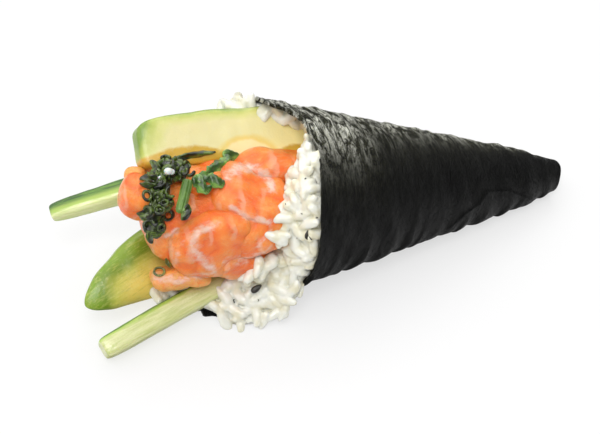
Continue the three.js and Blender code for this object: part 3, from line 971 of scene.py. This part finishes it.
def applied(piece, kind, **settings):
    """Applies one modifier to the piece's mesh."""
    modifier = piece.modifiers.new("step", kind)
    for key, value in settings.items():
        setattr(modifier, key, value)
    graph = bpy.context.evaluated_depsgraph_get()
    mesh = bpy.data.meshes.new_from_object(piece.evaluated_get(graph))
    piece.modifiers.clear()
    piece.data = mesh


def pressed_in(points):
    """The points kept off the table and, inside the cone, behind the nori."""
    spots = in_roll(points)
    along = spots[:, 0]
    radius = np.hypot(spots[:, 1], spots[:, 2])
    angle = angle_of(spots)
    room = cone_radius(along) + flare(along, angle) - NORI_THICKNESS - WRINKLE - RICE_CLEAR
    past_rim = smooth((along - around_keys(RIM_KEYS, angle) + 1) / 3) * 9
    share = np.minimum(1, (room + past_rim) / np.maximum(radius, 1e-6))
    pressed = place(spots * np.stack([np.ones(len(share)), share, share], axis=1))
    pressed[:, 2] = np.maximum(pressed[:, 2], 0)
    return pressed


def build_rice(material, others):
    draw = random.Random(RICE_SEED)
    core = rice_core("rice_core", first_key=0, cell=3.0)
    layer = rice_core("rice_layer", first_key=len(RICE_WALL), cell=1.2)
    spots = kept_apart(showing_spots(layer, others, RICE_SIDES, GRAIN_SPACING, draw), GRAIN_APART)
    tree = tree_of([*others, layer])
    loose = [np.add(spot, [draw.uniform(*reach) for reach in LOOSE_REACH])
             for spot in LOOSE_GRAINS for _ in range(LOOSE_EACH)]
    spots += [(met_by_view(tree, spot)[0], TO_VIEW) for spot in [*loose, *STRAY_GRAINS]]
    grains = scattered(spots, grain_forms(draw), draw, sink=0.5, rise=0.35)
    points, _, faces = joined([part_of(layer), grains])
    bpy.data.objects.remove(layer)
    heap = new_object("rice_heap", points, faces, material)
    applied(heap, "REMESH", mode="VOXEL", voxel_size=RICE_VOXEL * MM, use_smooth_shade=True)
    applied(heap, "SMOOTH", factor=0.5, iterations=1)
    applied(heap, "DECIMATE", ratio=RICE_KEPT_SHARE)
    roughen(heap, depth=0.16, size=1.7, seed=12)
    points = pressed_in(points_of(heap))
    move_points(heap, points)
    add_attribute(heap, "own", points)
    heap.data.shade_smooth()
    add_attribute(core, "own", points_of(core))
    core.data.materials.append(material)
    return [finish_piece(core, "rice", "rice"), finish_piece(heap, "rice", "rice")]


# ---- avocado and cucumber ----

# Each slice and strip as in the solids, and its colours. An avocado's "stops" run across it from
# the pit side to the skin side, and its skin shows past "end_from" at the outer end.
AVOCADO_TOP = {
    "at": (110, 9.1, 14.5), "run": (-1, 0, 0.02), "face": (0.05, -0.6, 0.8),
    "length": 58, "width": 16, "depth": 9, "ends": 0.38, "edges": 0.3, "bow": 1.2,
}
AVOCADO_TOP_LOOK = {
    "stops": [
        (0.00, (0.76, 0.57, 0.15)), (0.12, (0.80, 0.68, 0.30)), (0.28, (0.76, 0.69, 0.35)),
        (0.72, (0.76, 0.69, 0.35)), (0.85, (0.62, 0.62, 0.21)), (0.92, (0.44, 0.50, 0.10)),
        (0.98, (0.20, 0.31, 0.04)),
    ],
    # Towards the inner end the flesh turns yellow, and is painted brighter there as painted light
    # where the nori's rim shades it
    "inner": (1.0, 0.85, 0.36), "half_width": 8.2, "end_from": -15, "end_length": 14.5,
    "pit": {"middle": (3.6, -8.2), "reach": (9.3, 6.8), "inside": (0.95, 0.77, 0.39),
            "edge": (0.82, 0.56, 0.07)},
    # The near side's cut face, a darker ochre as painted shade
    "shaded_side_face": (0.62, 0.38, 0.04),
}
AVOCADO_LOW = {
    "at": (122.8, 2.2, -22.2), "run": (-57, 20, 12.5), "face": (0.4, -0.7, 0.6),
    "length": 66, "width": 21, "depth": 10, "ends": 1.2, "edges": 0.65, "bow": 2,
}
AVOCADO_LOW_LOOK = {
    "stops": [
        (0.00, (0.88, 0.66, 0.14)), (0.38, (0.70, 0.57, 0.12)), (0.56, (0.52, 0.52, 0.09)),
        (0.68, (0.16, 0.26, 0.012)), (0.78, (0.18, 0.31, 0.015)), (0.90, (0.22, 0.34, 0.02)),
        (1.00, (0.08, 0.15, 0.01)),
    ],
    "inner": (0.85, 0.62, 0.12), "half_width": 10.6, "end_from": -22, "end_length": 13,
    "fibrous": 0.25,
}
CUCUMBER_FAR = {
    "at": (121.8, 20.2, -6.5), "run": (-66, -7.9, 27), "face": (0, -0.3, 1),
    "length": 74, "width": 7, "depth": 7.6, "ends": 0.2, "edges": 0.5, "narrow": -0.26,
}
# The far strip's flesh is painted lighter than the near strip's: painted light for the shade that
# it lies in
CUCUMBER_FAR_LOOK = {
    "pale": (0.82, 0.88, 0.50), "deep": (0.68, 0.77, 0.34), "skin_from": -0.4, "skin_full": 0.3,
}
CUCUMBER_NEAR = {
    "at": (119.5, -12.8, -24.8), "run": (-34.5, 9, 11.4), "face": (0, -0.5, 0.85),
    "length": 68, "width": 7.4, "depth": 7, "ends": 0.18, "edges": 0.5, "narrow": -0.08,
}
CUCUMBER_NEAR_LOOK = {
    "pale": (0.68, 0.69, 0.36), "deep": (0.52, 0.57, 0.22), "skin_from": 0.74, "skin_full": 0.92,
}

# How far below its skin a cucumber's flesh turns green
RIND_SHARE = 0.35


def build_avocados():
    for name, look, seat, seed in (("avocado_top", AVOCADO_TOP_LOOK, AVOCADO_TOP, 3),
                                   ("avocado_low", AVOCADO_LOW_LOOK, AVOCADO_LOW, 4)):
        piece = rounded_piece(name + "_slice", avocado_material(name, **look), **seat)
        roughen(piece, depth=0.35, size=9, seed=seed, octaves=2)
        yield finish_piece(piece, "avocado", name)


def build_cucumbers():
    for name, look, seat, seed in (("cucumber_far", CUCUMBER_FAR_LOOK, CUCUMBER_FAR, 5),
                                   ("cucumber_near", CUCUMBER_NEAR_LOOK, CUCUMBER_NEAR, 6)):
        piece = rounded_piece(name + "_strip", cucumber_material(name, **look), **seat)
        own = own_of(piece)
        local_half = seat["width"] / 2 * (1 - seat["narrow"] * own[:, 0] / seat["length"] * 2)
        add_attribute(piece, "rise", own[:, 1] / local_half)
        roughen(piece, depth=0.12, size=(9, 3, 3), seed=seed, octaves=2)
        yield finish_piece(piece, "cucumber", name)


# ---- salmon ----

# The middle of the heap
HEAP_MIDDLE = 115
HEAP_SIDE = -2
HEAP_LIFT = -3

# Each piece as in the solids: (along, angle, out) round the heap, its spin there, and its sizes
SALMON = [
    ((120.5, 186, 11.6), 20, (25, 21, 13)),
    ((109, 121, 11.4), -25, (25, 18, 12)),
    ((98.5, 80, 13.6), 5, (28, 15, 12)),
    ((107.5, 166, 12.6), 30, (19, 15, 12)),
    ((111.5, 213, 14.6), -10, (20, 12, 10)),
    ((127, 236, 17.8), 10, (18, 12, 7)),
    ((121.5, 92, 13), 15, (14, 10, 9)),
    ((142, 100, 10.5), 70, (13, 9.5, 10)),
    ((139.5, 62, 11.5), 40, (7, 6, 7)),
]
SALMON_FORM = {"ends": 0.72, "edges": 0.72, "ripple": 0.5}
PALE_SALMON = (6, 9)
# Pieces painted a deeper orange as painted shade: the far left piece and the core's flank
SHADED_SALMON = (8, 10)
SALMON_CORE = {
    "at": (99.7, HEAP_SIDE, HEAP_LIFT), "run": (1, 0, 0), "face": (0, 0, 1),
    "length": 73.4, "width": 28, "depth": 27, "ends": 0.35, "edges": 0.85, "narrow": 0.06,
    "ripple": 0.4,
}

# Seams of fat that show on the heap: half width, how pale, and the spots that they run through
FAT_SEAMS = [
    (1.4, 0.85, [(122.4, -16.6, 4.9), (124.9, -16.5, 4), (127.3, -16.9, 2.7), (128.2, -18, 0.8),
                (127.5, -19, -1.8), (124.7, -19.5, -6.1), (120.5, -18.6, -10.4)]),
    (0.8, 0.6, [(130.4, -16.8, 0.4), (131.8, -16.8, -3.8), (131.4, -16.2, -8.2)]),
    (1.3, 0.9, [(116.2, -5.7, 13.8), (111.4, -3.4, 14.2), (106.9, -4.5, 14.7),
                (104.1, -6.2, 12.9), (103.4, -10.1, 11.5)]),
    (0.9, 0.9, [(116.5, -13.1, 8), (111.9, -15.7, 6), (106.2, -18.2, 5.3)]),
    (1.6, 0.6, [(116.7, -19.2, -7.2), (109.5, -18.2, -7.4), (105, -19.4, -3.8)]),
    (0.8, 0.7, [(109.2, -20.5, -0.7), (107.5, -20, 1), (105.6, -19.1, 2.7)]),
    (1.8, 0.6, [(139, -2.6, -3.7), (138.2, -7.4, -8.4), (132.7, -9, -14.6)]),
    (0.9, 0.8, [(135, -13.1, -0.8), (131.5, -13.5, 1.1)]),
    (1.4, 0.25, [(148, -2, 10), (146.8, -3.9, 7.9), (145.6, -8.7, 5.5)]),
    (1.4, 0.7, [(135.4, -13.7, -15.7), (129, -16.9, -14.5), (121.5, -17, -13.4)]),
]
SEAM_SPREAD = 1.45

# The flesh's surface: gentle swells, and folds that stand out, painted lighter as painted light,
# which leaves painted shade, a deeper orange, in the creases; and the tones of the pieces, the
# shaded pieces painted darker as painted shade
SWELL_SIZE = 9
SWELL_DEPTH = 0.6
FOLD_SIZE = 8
FOLD_DEPTH = 0.8
FOLD_INSET = 0.2
FOLD_SEED = 40
FOLD_PAINTED_LIGHT = 1.7
SHADED_TONE = 0.05
PLAIN_TONE = 0.2
LIGHT_TONE = 0.85

# Faint layers in the flesh: how far apart, which way they follow, and how each piece is shifted
LAYER_SPACING = 6.5
LAYER_WAY = (1, 0.4, -0.3)
LAYER_STEP = 2.3


def salmon_seat(around, spin):
    """Where and how a piece lies on the heap."""
    along, angle, out = around
    turn, lean = math.radians(angle), math.radians(spin)
    face = np.array([0, math.cos(turn), math.sin(turn)])
    aside = np.array([0, -math.sin(turn), math.cos(turn)])
    run = np.array([math.cos(lean), 0, 0]) + aside * math.sin(lean)
    return {"at": np.array([along, HEAP_SIDE, HEAP_LIFT]) + out * face, "run": run, "face": face}


def off_line(points, start, end):
    """Distances from points to the straight line between two spots, seen along the view."""
    seen = np.eye(3) - np.outer(TO_VIEW, TO_VIEW)
    a, b = place(start) @ seen, place(end) @ seen
    run = b - a
    share = np.clip((points @ seen - a) @ run / (run @ run), 0, 1)
    return np.linalg.norm(points @ seen - a - share[:, None] * run, axis=1)


def seams_at(points):
    """How pale the flesh is at points for the seams of fat, which go in along the view."""
    facing = (points - place((HEAP_MIDDLE, HEAP_SIDE, HEAP_LIFT))) @ TO_VIEW
    pale = np.zeros(len(points))
    for half_width, strength, spots in FAT_SEAMS:
        off = np.min([off_line(points, *pair) for pair in zip(spots, spots[1:])], axis=0)
        pale = np.maximum(pale, strength * bump(off / half_width / SEAM_SPREAD))
    return pale * smooth(facing / 6)


def salmon_piece(number, material, **seat_and_form):
    piece = rounded_piece(f"salmon_{number}_flesh", material, **seat_and_form)
    shape = points_of(piece)
    folds = np.abs(wander(shape, FOLD_SIZE, number + FOLD_SEED, 2))
    swells = SWELL_DEPTH * wander(shape, SWELL_SIZE, number)
    push_out(piece, swells + FOLD_DEPTH * folds - FOLD_INSET)
    points = points_of(piece)
    # Painted light on the folds, over painted shade on the shaded pieces
    tone = SHADED_TONE if number in SHADED_SALMON else PLAIN_TONE
    layer = points @ unit(direction(LAYER_WAY)) + number * LAYER_STEP
    add_attribute(piece, "tone", np.clip(tone + FOLD_PAINTED_LIGHT * folds, 0, LIGHT_TONE))
    add_attribute(piece, "seam", seams_at(points))
    add_attribute(piece, "layer", layer)
    add_attribute(piece, "peach", np.full(len(points), float(number in PALE_SALMON)))
    return finish_piece(piece, "salmon", f"salmon_{number}")


def build_salmon(material):
    for number, (around, spin, (length, width, depth)) in enumerate(SALMON, 1):
        yield salmon_piece(number, material, length=length, width=width, depth=depth,
                           **SALMON_FORM, **salmon_seat(around, spin))
    yield salmon_piece(len(SALMON) + 1, material, **SALMON_CORE)


# ---- herbs and seeds ----

HERB_SEED = 11
NEAR_AND_UP = (0.3, -0.7, 0.7)
SCALLION_STALK = {
    "at": (130.7, -11.1, 11.6), "run": (3.2, -6.2, -3.8), "face": NEAR_AND_UP,
    "length": 10, "width": 2.9, "depth": 2.9, "ends": 0.25,
}
RIBS = 9
RIB_DEPTH = 0.12
LEAFLETS = [
    {"at": (119.5, -3.5, 14.5), "run": (-1, 0.75, 0.1), "length": 16, "width": 3.2, "seed": 31},
    {"at": (125, -8.5, 13.2), "run": (-0.6, -0.5, -0.4), "length": 6.5, "width": 3.6, "seed": 36},
    {"at": (120.5, -7.4, 13.4), "run": (-0.8, -0.6, -0.2), "length": 6, "width": 3, "seed": 31},
    {"at": (112, 2.4, 14.6), "run": (-1, 0.5, -0.1), "length": 7, "width": 3.4, "seed": 36},
]
LOBE_SIZE = 1.9
LOBE_DEPTH = 0.75
CURL_SIZE = 2.4
CURL_DEPTH = 0.35

# The cluster: cut rings that lie open at their spots, shreds between them, and beds of leaf as
# (spot, size); and what lies apart from it
RING_CELL = 0.25
RING_SECTION = 10
RING_SPOTS = [
    (140.5, -8.1, 10.3), (138, -9.2, 10.9), (137.9, -12.1, 7.8), (140.7, -11.8, 7.5),
    (140.7, -13.6, 4.2), (137.8, -14.6, 4.4), (133.6, -9.9, 4.2), (136.2, -11.4, 9.6),
]
STEM_WALL = 0.95
STEM_KINDS = 5
SHRED_LENGTHS = (2.8, 3.6, 4.8)
BROKEN_SHARES = (0.4, 0.6)
SHRED_SPACING = 1.6
SHREDS_APART = 1.9
SLIVER_RISE = 0.3
LOOSE_RING_SPOT = (132.4, -9.8, -17.2)
LOOSE_SLIVERS = [
    {"at": (129.7, -8.5, -13.9), "run": (0.2, 0.5, 0.85), "length": 4.6, "width": 1.2},
    # A long dark strip along the lower edge of the top avocado slice: herb leaf, and painted shade
    # for the shadow under that edge
    {"at": (124.8, 2.4, 14.7), "run": (-7.4, 0.5, 0.9), "length": 16, "width": 1.9},
    {"at": (129.2, -11.5, 6.1), "run": (0.5, -0.6, -0.6), "length": 5, "width": 2.6},
]
CLUSTER_BEDS = [
    ((129, -1.6, 13.1), 6.5), ((132.6, -1.4, 13), 7.5), ((136, -3.4, 12.4), 6.5),
    ((138, -6.5, 10.8), 7.5), ((136.4, -9.6, 9), 6.5), ((140, -10, 7.1), 7.5),
    ((138.8, -13.3, 3.2), 6.5),
]

# The dark and the light tone of each kind of leaf
LEAF_TONES = {
    "scallion": ((0.004, 0.007, 0.002), (0.12, 0.19, 0.022)),
    "pale_scallion": ((0.07, 0.085, 0.012), (0.27, 0.29, 0.07)),
    "stalk": ((0.07, 0.15, 0.02), (0.18, 0.32, 0.06)),
    "herb": ((0.022, 0.065, 0.010), (0.22, 0.42, 0.08)),
}

# Small things that lie on the surface that shows at a spot, with their sizes
BITS_SEED = 5
SESAME = {"run": (-0.79, 0.06, 0.62), "length": 3.7, "width": 1.9, "depth": 1.3, "narrow": 0.35}
SESAME_SPOT = (104.3, -17.3, -20.3)
SESAME_RISE = 0.9
BEADS = [((132.9, -2.7, 14.3), 2.6), ((131.5, -2.2, 13.4), 1.9), ((136.2, -4.9, 13.8), 1.5)]
CRUMBS = [
    ((96.7, -26.1, 6.3), 3.2), ((93.5, -17.7, 18.3), 1.4), ((94.6, -24, 10.5), 0.9),
    ((97.4, -16.5, 19.5), 0.8), ((99.2, -23.5, 3.2), 0.6), ((104.8, -20.5, -22.2), 0.8),
    ((109, -15, -26.5), 1.6), ((98.1, -21, 10), 0.6), ((101.6, -16.5, 10.4), 0.7),
]


def ring_form(radius, wall, height, share=1.0, oval=1.0):
    """A cut slice of a hollow stem, as a part: a band round "share" of a turn."""
    steps = max(10, round(share * math.tau * radius / RING_CELL))
    whole = share == 1.0
    rings = steps if whole else steps + 1
    turns = np.linspace(0, share * math.tau, steps + 1)[:rings, None]
    tube = np.arange(RING_SECTION) * math.tau / RING_SECTION
    thick = np.ones((rings, 1))
    if not whole:
        thick[[0, -1]] = 0.35
    out = radius + wall / 2 * thick * np.cos(tube)
    rise = height / 2 * thick * np.sign(np.sin(tube)) * np.abs(np.sin(tube)) ** 0.6
    points = np.stack([out * np.cos(turns), out * np.sin(turns) * oval, rise], axis=2)
    own = np.stack([rise, turns * radius + 0 * tube, out], axis=2)
    starts = [ring * RING_SECTION for ring in range(rings)]
    next_starts = starts[1:] + starts[:1] if whole else starts[1:]
    faces = [face for pair in zip(starts, next_starts) for face in band_faces(RING_SECTION, *pair)]
    if not whole:
        faces.append(tuple(range(RING_SECTION))[::-1])
        faces.append(tuple(range(starts[-1], starts[-1] + RING_SECTION)))
    points = points.reshape(-1, 3)
    return points, own.reshape(-1, 3), outward(points, faces)


def laid_rings(tree, draw):
    """Spots and ways out for the rings that lie open on the heap."""
    for spot in RING_SPOTS:
        aside = direction([draw.uniform(-0.5, 0.5) for _ in range(3)])
        yield met_by_view(tree, spot)[0], unit(TO_VIEW + aside)


def tube_forms(draw):
    """Short tubes cut from the stem, whole and split."""
    forms = [ring_form(radius=draw.uniform(1.0, 1.5), wall=STEM_WALL,
                       height=draw.uniform(1.2, 1.9), oval=0.85) for _ in range(STEM_KINDS)]
    return forms + [ring_form(radius=1.4, wall=STEM_WALL, height=1.6, share=0.7)]


def shred_forms():
    """Flat shreds of leaf and broken rings."""
    forms = [rounded_form(length, width=2.3, depth=0.9, ends=0.7, edges=0.8, bow=0.6, ripple=0.3,
                          cell=0.35) for length in SHRED_LENGTHS]
    return forms + [ring_form(radius=1.3, wall=0.9, height=1.5, share=share)
                    for share in BROKEN_SHARES]


def build_cluster(look, rings, shreds, draw):
    """The chopped heap: rings that lie open, shreds between them, and beds of leaf below."""
    cut_rings = scattered(rings, tube_forms(draw), draw, sink=0.1, rise=0.2)
    cut_shreds = scattered(shreds, shred_forms(), draw, sink=-0.4, rise=0.6)
    for name, cuts in (("scallion_rings", cut_rings), ("scallion_shreds", cut_shreds)):
        yield finish_piece(object_of(name, cuts, look), "scallion", "scallion_heap")
    for i, (at, spread) in enumerate(CLUSTER_BEDS, 1):
        bed = rounded_piece(f"scallion_bed_{i}", look, at, (1, 0.4, 0), NEAR_AND_UP,
                            length=spread, width=spread, depth=2.8, cell=0.4)
        roughen(bed, depth=0.5, size=1.8, seed=9, octaves=2)
        yield finish_piece(bed, "scallion", "scallion_heap")


def build_loose_scallion(look, pale_look, tree, draw):
    """A ring and slivers that lie apart from the heap."""
    form = ring_form(radius=1.45, wall=0.7, height=1.1, oval=0.8)
    ring = scattered([laid_on(tree, LOOSE_RING_SPOT)], [form], draw, sink=0.8)
    yield finish_piece(object_of("loose_ring", ring, pale_look), "scallion")
    for i, (sliver, leaf) in enumerate(zip(LOOSE_SLIVERS, (pale_look, look, look)), 1):
        spot, out = laid_on(tree, sliver["at"])
        seat = {**sliver, "at": in_roll(spot + out * SLIVER_RISE), "face": out @ ROLL_AXES.T}
        piece = rounded_piece(f"loose_sliver_{i}", leaf, depth=0.8, bow=0.5, ripple=0.3, cell=0.25,
                              **seat)
        roughen(piece, depth=0.25, size=1.6, seed=10)
        yield finish_piece(piece, "scallion")


def build_scallions(look, pale_look, others):
    draw = random.Random(HERB_SEED)
    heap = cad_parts["scallion_heap"]
    spots = showing_spots(heap, others, OPEN_SIDES, SHRED_SPACING, draw)
    tree = tree_of([heap, *others])
    rings = list(laid_rings(tree, draw))
    shreds = [(spot, out) for spot, out in kept_apart(spots, SHREDS_APART)
              if all(np.linalg.norm(spot - ring) > SHREDS_APART for ring, _ in rings)]
    yield from build_cluster(look, rings, shreds, draw)
    yield from build_loose_scallion(look, pale_look, tree, draw)


def build_stalk(look):
    piece = rounded_piece("scallion_stem", look, cell=0.2, **SCALLION_STALK)
    own = own_of(piece)
    ribs = RIB_DEPTH * np.sin(np.arctan2(own[:, 2], own[:, 1]) * RIBS)
    push_out(piece, ribs + 0.1 * wander(points_of(piece), size=3, seed=8))
    return finish_piece(piece, "scallion_stalk", "scallion_stalk")


def leaflet(at, run, seed, **sizes):
    """A lobed leaflet, as a part."""
    points, own, faces = rounded_form(depth=1.3, ripple=0.4, ends=0.7, cell=0.25, **sizes)
    side = np.stack([own[:, 0], np.sign(own[:, 1]) * 3, 0 * own[:, 0]], axis=1)
    points[:, 1] *= 1 + LOBE_DEPTH * wander(side, LOBE_SIZE, seed, octaves=2)
    points[:, 2] += CURL_DEPTH * wander(own, CURL_SIZE, seed=32, octaves=2)
    return settled(points, at, run, NEAR_AND_UP), own, faces


def build_sprig(look):
    piece = object_of("herb_leaflets", joined([leaflet(**row) for row in LEAFLETS]), look)
    return finish_piece(piece, "herb", "herb_sprig")


def build_bits(pieces):
    """A sesame seed, pale beads among the herbs and crumbs of nori, on what shows there."""
    tree = tree_of(pieces)
    draw = random.Random(BITS_SEED)
    black = speckled_material("sesame", grain=2.0, tone=(0.012, 0.011, 0.009),
                              other_tone=(0.05, 0.045, 0.035), Roughness=0.4)
    at = lying_on(tree, SESAME_SPOT) + SESAME_RISE * np.array(VIEW_WAY)
    finish_piece(rounded_piece("sesame_seed", black, at, face=VIEW_WAY, cell=0.2, **SESAME), "nori")
    pearl = speckled_material("pearl", grain=0.8, tone=(0.86, 0.87, 0.84),
                              other_tone=(0.66, 0.68, 0.66), Roughness=0.2, Coat_Weight=0.5,
                              Subsurface_Weight=0.4, Subsurface_Scale=1.0 * MM)
    for i, (spot, size) in enumerate(BEADS, 1):
        bead = rounded_piece(f"pale_bead_{i}", pearl, lying_on(tree, spot), (1, 0, 0), VIEW_WAY,
                             cell=0.25, length=size, width=size * 0.9, depth=size * 0.8)
        finish_piece(bead, "rice")
    for i, (spot, size) in enumerate(CRUMBS, 1):
        run = [draw.uniform(-1, 1) for _ in range(3)]
        crumb = rounded_piece(f"nori_crumb_{i}", black, lying_on(tree, spot), run, VIEW_WAY,
                              cell=0.2, length=size, width=size * 0.4, depth=0.5,
                              bow=size * 0.3, ripple=0.2, narrow=0.4)
        finish_piece(crumb, "nori")


# ---- stage ----

CAMERA_AZIMUTH = -21.4
CAMERA_ELEVATION = 42
CAMERA_DISTANCE = 500
CAMERA_LENS = 100
CAMERA_NEAR = 10
CAMERA_TARGET = (TIP_X - 87.1, TIP_Y - 3.46, 19.12)

# The studio's light, in world directions: a soft sky that is brightest above the far side, a
# bright light behind the roll and a broad one over it. The table's glow on glossy things comes
# from the world below, so that it can be dimmer straight down, where the roll shades the table.
SKY_WAY = (-0.35, 0.2, 0.91)
SKY_DIM = 0.05
SKY_BRIGHT = 1.45
TABLE_GLOW = 1.3
GLOW_ENDS = (-0.5, -0.2)
SHADE_ENDS = (-0.95, -0.65)
BACK_LIGHT = {"way": (0.40, 0.62, 0.68), "distance": 900, "size": 600, "radiance": 2.0}
FRONT_LIGHT = {"way": (-0.22, -0.48, 0.85), "distance": 900, "size": 380, "radiance": 7.6}

# The table, whose own faint light stands for the bright room round it
FLOOR_SIZE = 3000
FLOOR_DROP = 0.2
FLOOR_LIGHT = 0.66
FLOOR_TONES = (0.245, 0.26)


def build_camera():
    turn, lift = math.radians(CAMERA_AZIMUTH), math.radians(CAMERA_ELEVATION)
    back = Vector((math.sin(turn) * math.cos(lift), -math.cos(turn) * math.cos(lift),
                   math.sin(lift)))
    data = bpy.data.cameras.new("camera")
    data.lens = CAMERA_LENS
    data.clip_start = CAMERA_NEAR * MM
    camera = added("camera", data)
    camera.location = (Vector(CAMERA_TARGET) + back * CAMERA_DISTANCE) * MM
    camera.rotation_euler = (-back).to_track_quat("-Z", "Y").to_euler()
    bpy.context.scene.camera = camera


def area_light(name, way, distance, size, radiance):
    """A square light seen from the roll's middle along "way"."""
    data = bpy.data.lights.new(name, "AREA")
    data.size = size * MM
    data.energy = radiance * math.pi * data.size ** 2
    light = added(name, data)
    light.location = Vector(way).normalized() * distance * MM
    light.rotation_euler = Vector(way).to_track_quat("Z", "Y").to_euler()


def build_world():
    world = bpy.data.worlds.new("studio")
    bpy.context.scene.world = world
    world.use_nodes = True
    sky = Nodes(world.node_tree)
    way = sky.put("ShaderNodeTexCoord").outputs["Generated"]
    height = sky.put("ShaderNodeVectorMath", {0: way, 1: SKY_WAY}, operation="DOT_PRODUCT")
    strength = sky.fade(height.outputs["Value"], 0.0, 1.0, SKY_DIM, SKY_BRIGHT)
    _, _, rise = sky.split(way)
    glow = sky.times(sky.fade(rise, *GLOW_ENDS, TABLE_GLOW, 0.0), sky.fade(rise, *SHADE_ENDS))
    strength = sky.math("ADD", strength, glow)
    sky.feed(world.node_tree.nodes["Background"].inputs["Strength"], strength)
    world.node_tree.nodes["Background"].inputs["Color"].default_value = (1, 1, 1, 1)


def build_floor():
    look = Shader("floor", Roughness=0.9, Specular_IOR_Level=0.0)
    look.surface.inputs["Emission Color"].default_value = (1, 1, 1, 1)
    look.surface.inputs["Emission Strength"].default_value = FLOOR_LIGHT
    spot = look.put("ShaderNodeTexCoord").outputs["Object"]
    dark, light = ((tone, tone, tone) for tone in FLOOR_TONES)
    material = look.finish(look.mix(look.noise(spot, 3.0, 2), dark, light))
    corners = [(x * FLOOR_SIZE, y * FLOOR_SIZE, 0) for x, y in ((-1, -1), (1, -1), (1, 1), (-1, 1))]
    floor = new_object("floor", corners, [(0, 1, 2, 3)], material)
    floor.location.z = -FLOOR_DROP * MM
    floor.visible_glossy = False
    floor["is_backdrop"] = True


def main():
    bpy.context.scene.view_settings.view_transform = "Standard"
    build_camera()
    build_world()
    build_floor()
    area_light("back_light", **BACK_LIGHT)
    area_light("front_light", **FRONT_LIGHT)

    nori = build_nori(nori_material())
    leaves = {name: leaf_material(name, *tones) for name, tones in LEAF_TONES.items()}
    fillings = [*build_avocados(), *build_cucumbers(), *build_salmon(salmon_material()),
                build_stalk(leaves["stalk"]), build_sprig(leaves["herb"])]
    scallions = [*build_scallions(leaves["scallion"], leaves["pale_scallion"], fillings)]
    rice = build_rice(rice_material(), [nori, *fillings])
    build_bits([nori, *fillings, *scallions, *rice])


main()
bounds = [[list(corner) for corner in pair] for pair in (cad_bounds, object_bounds())]
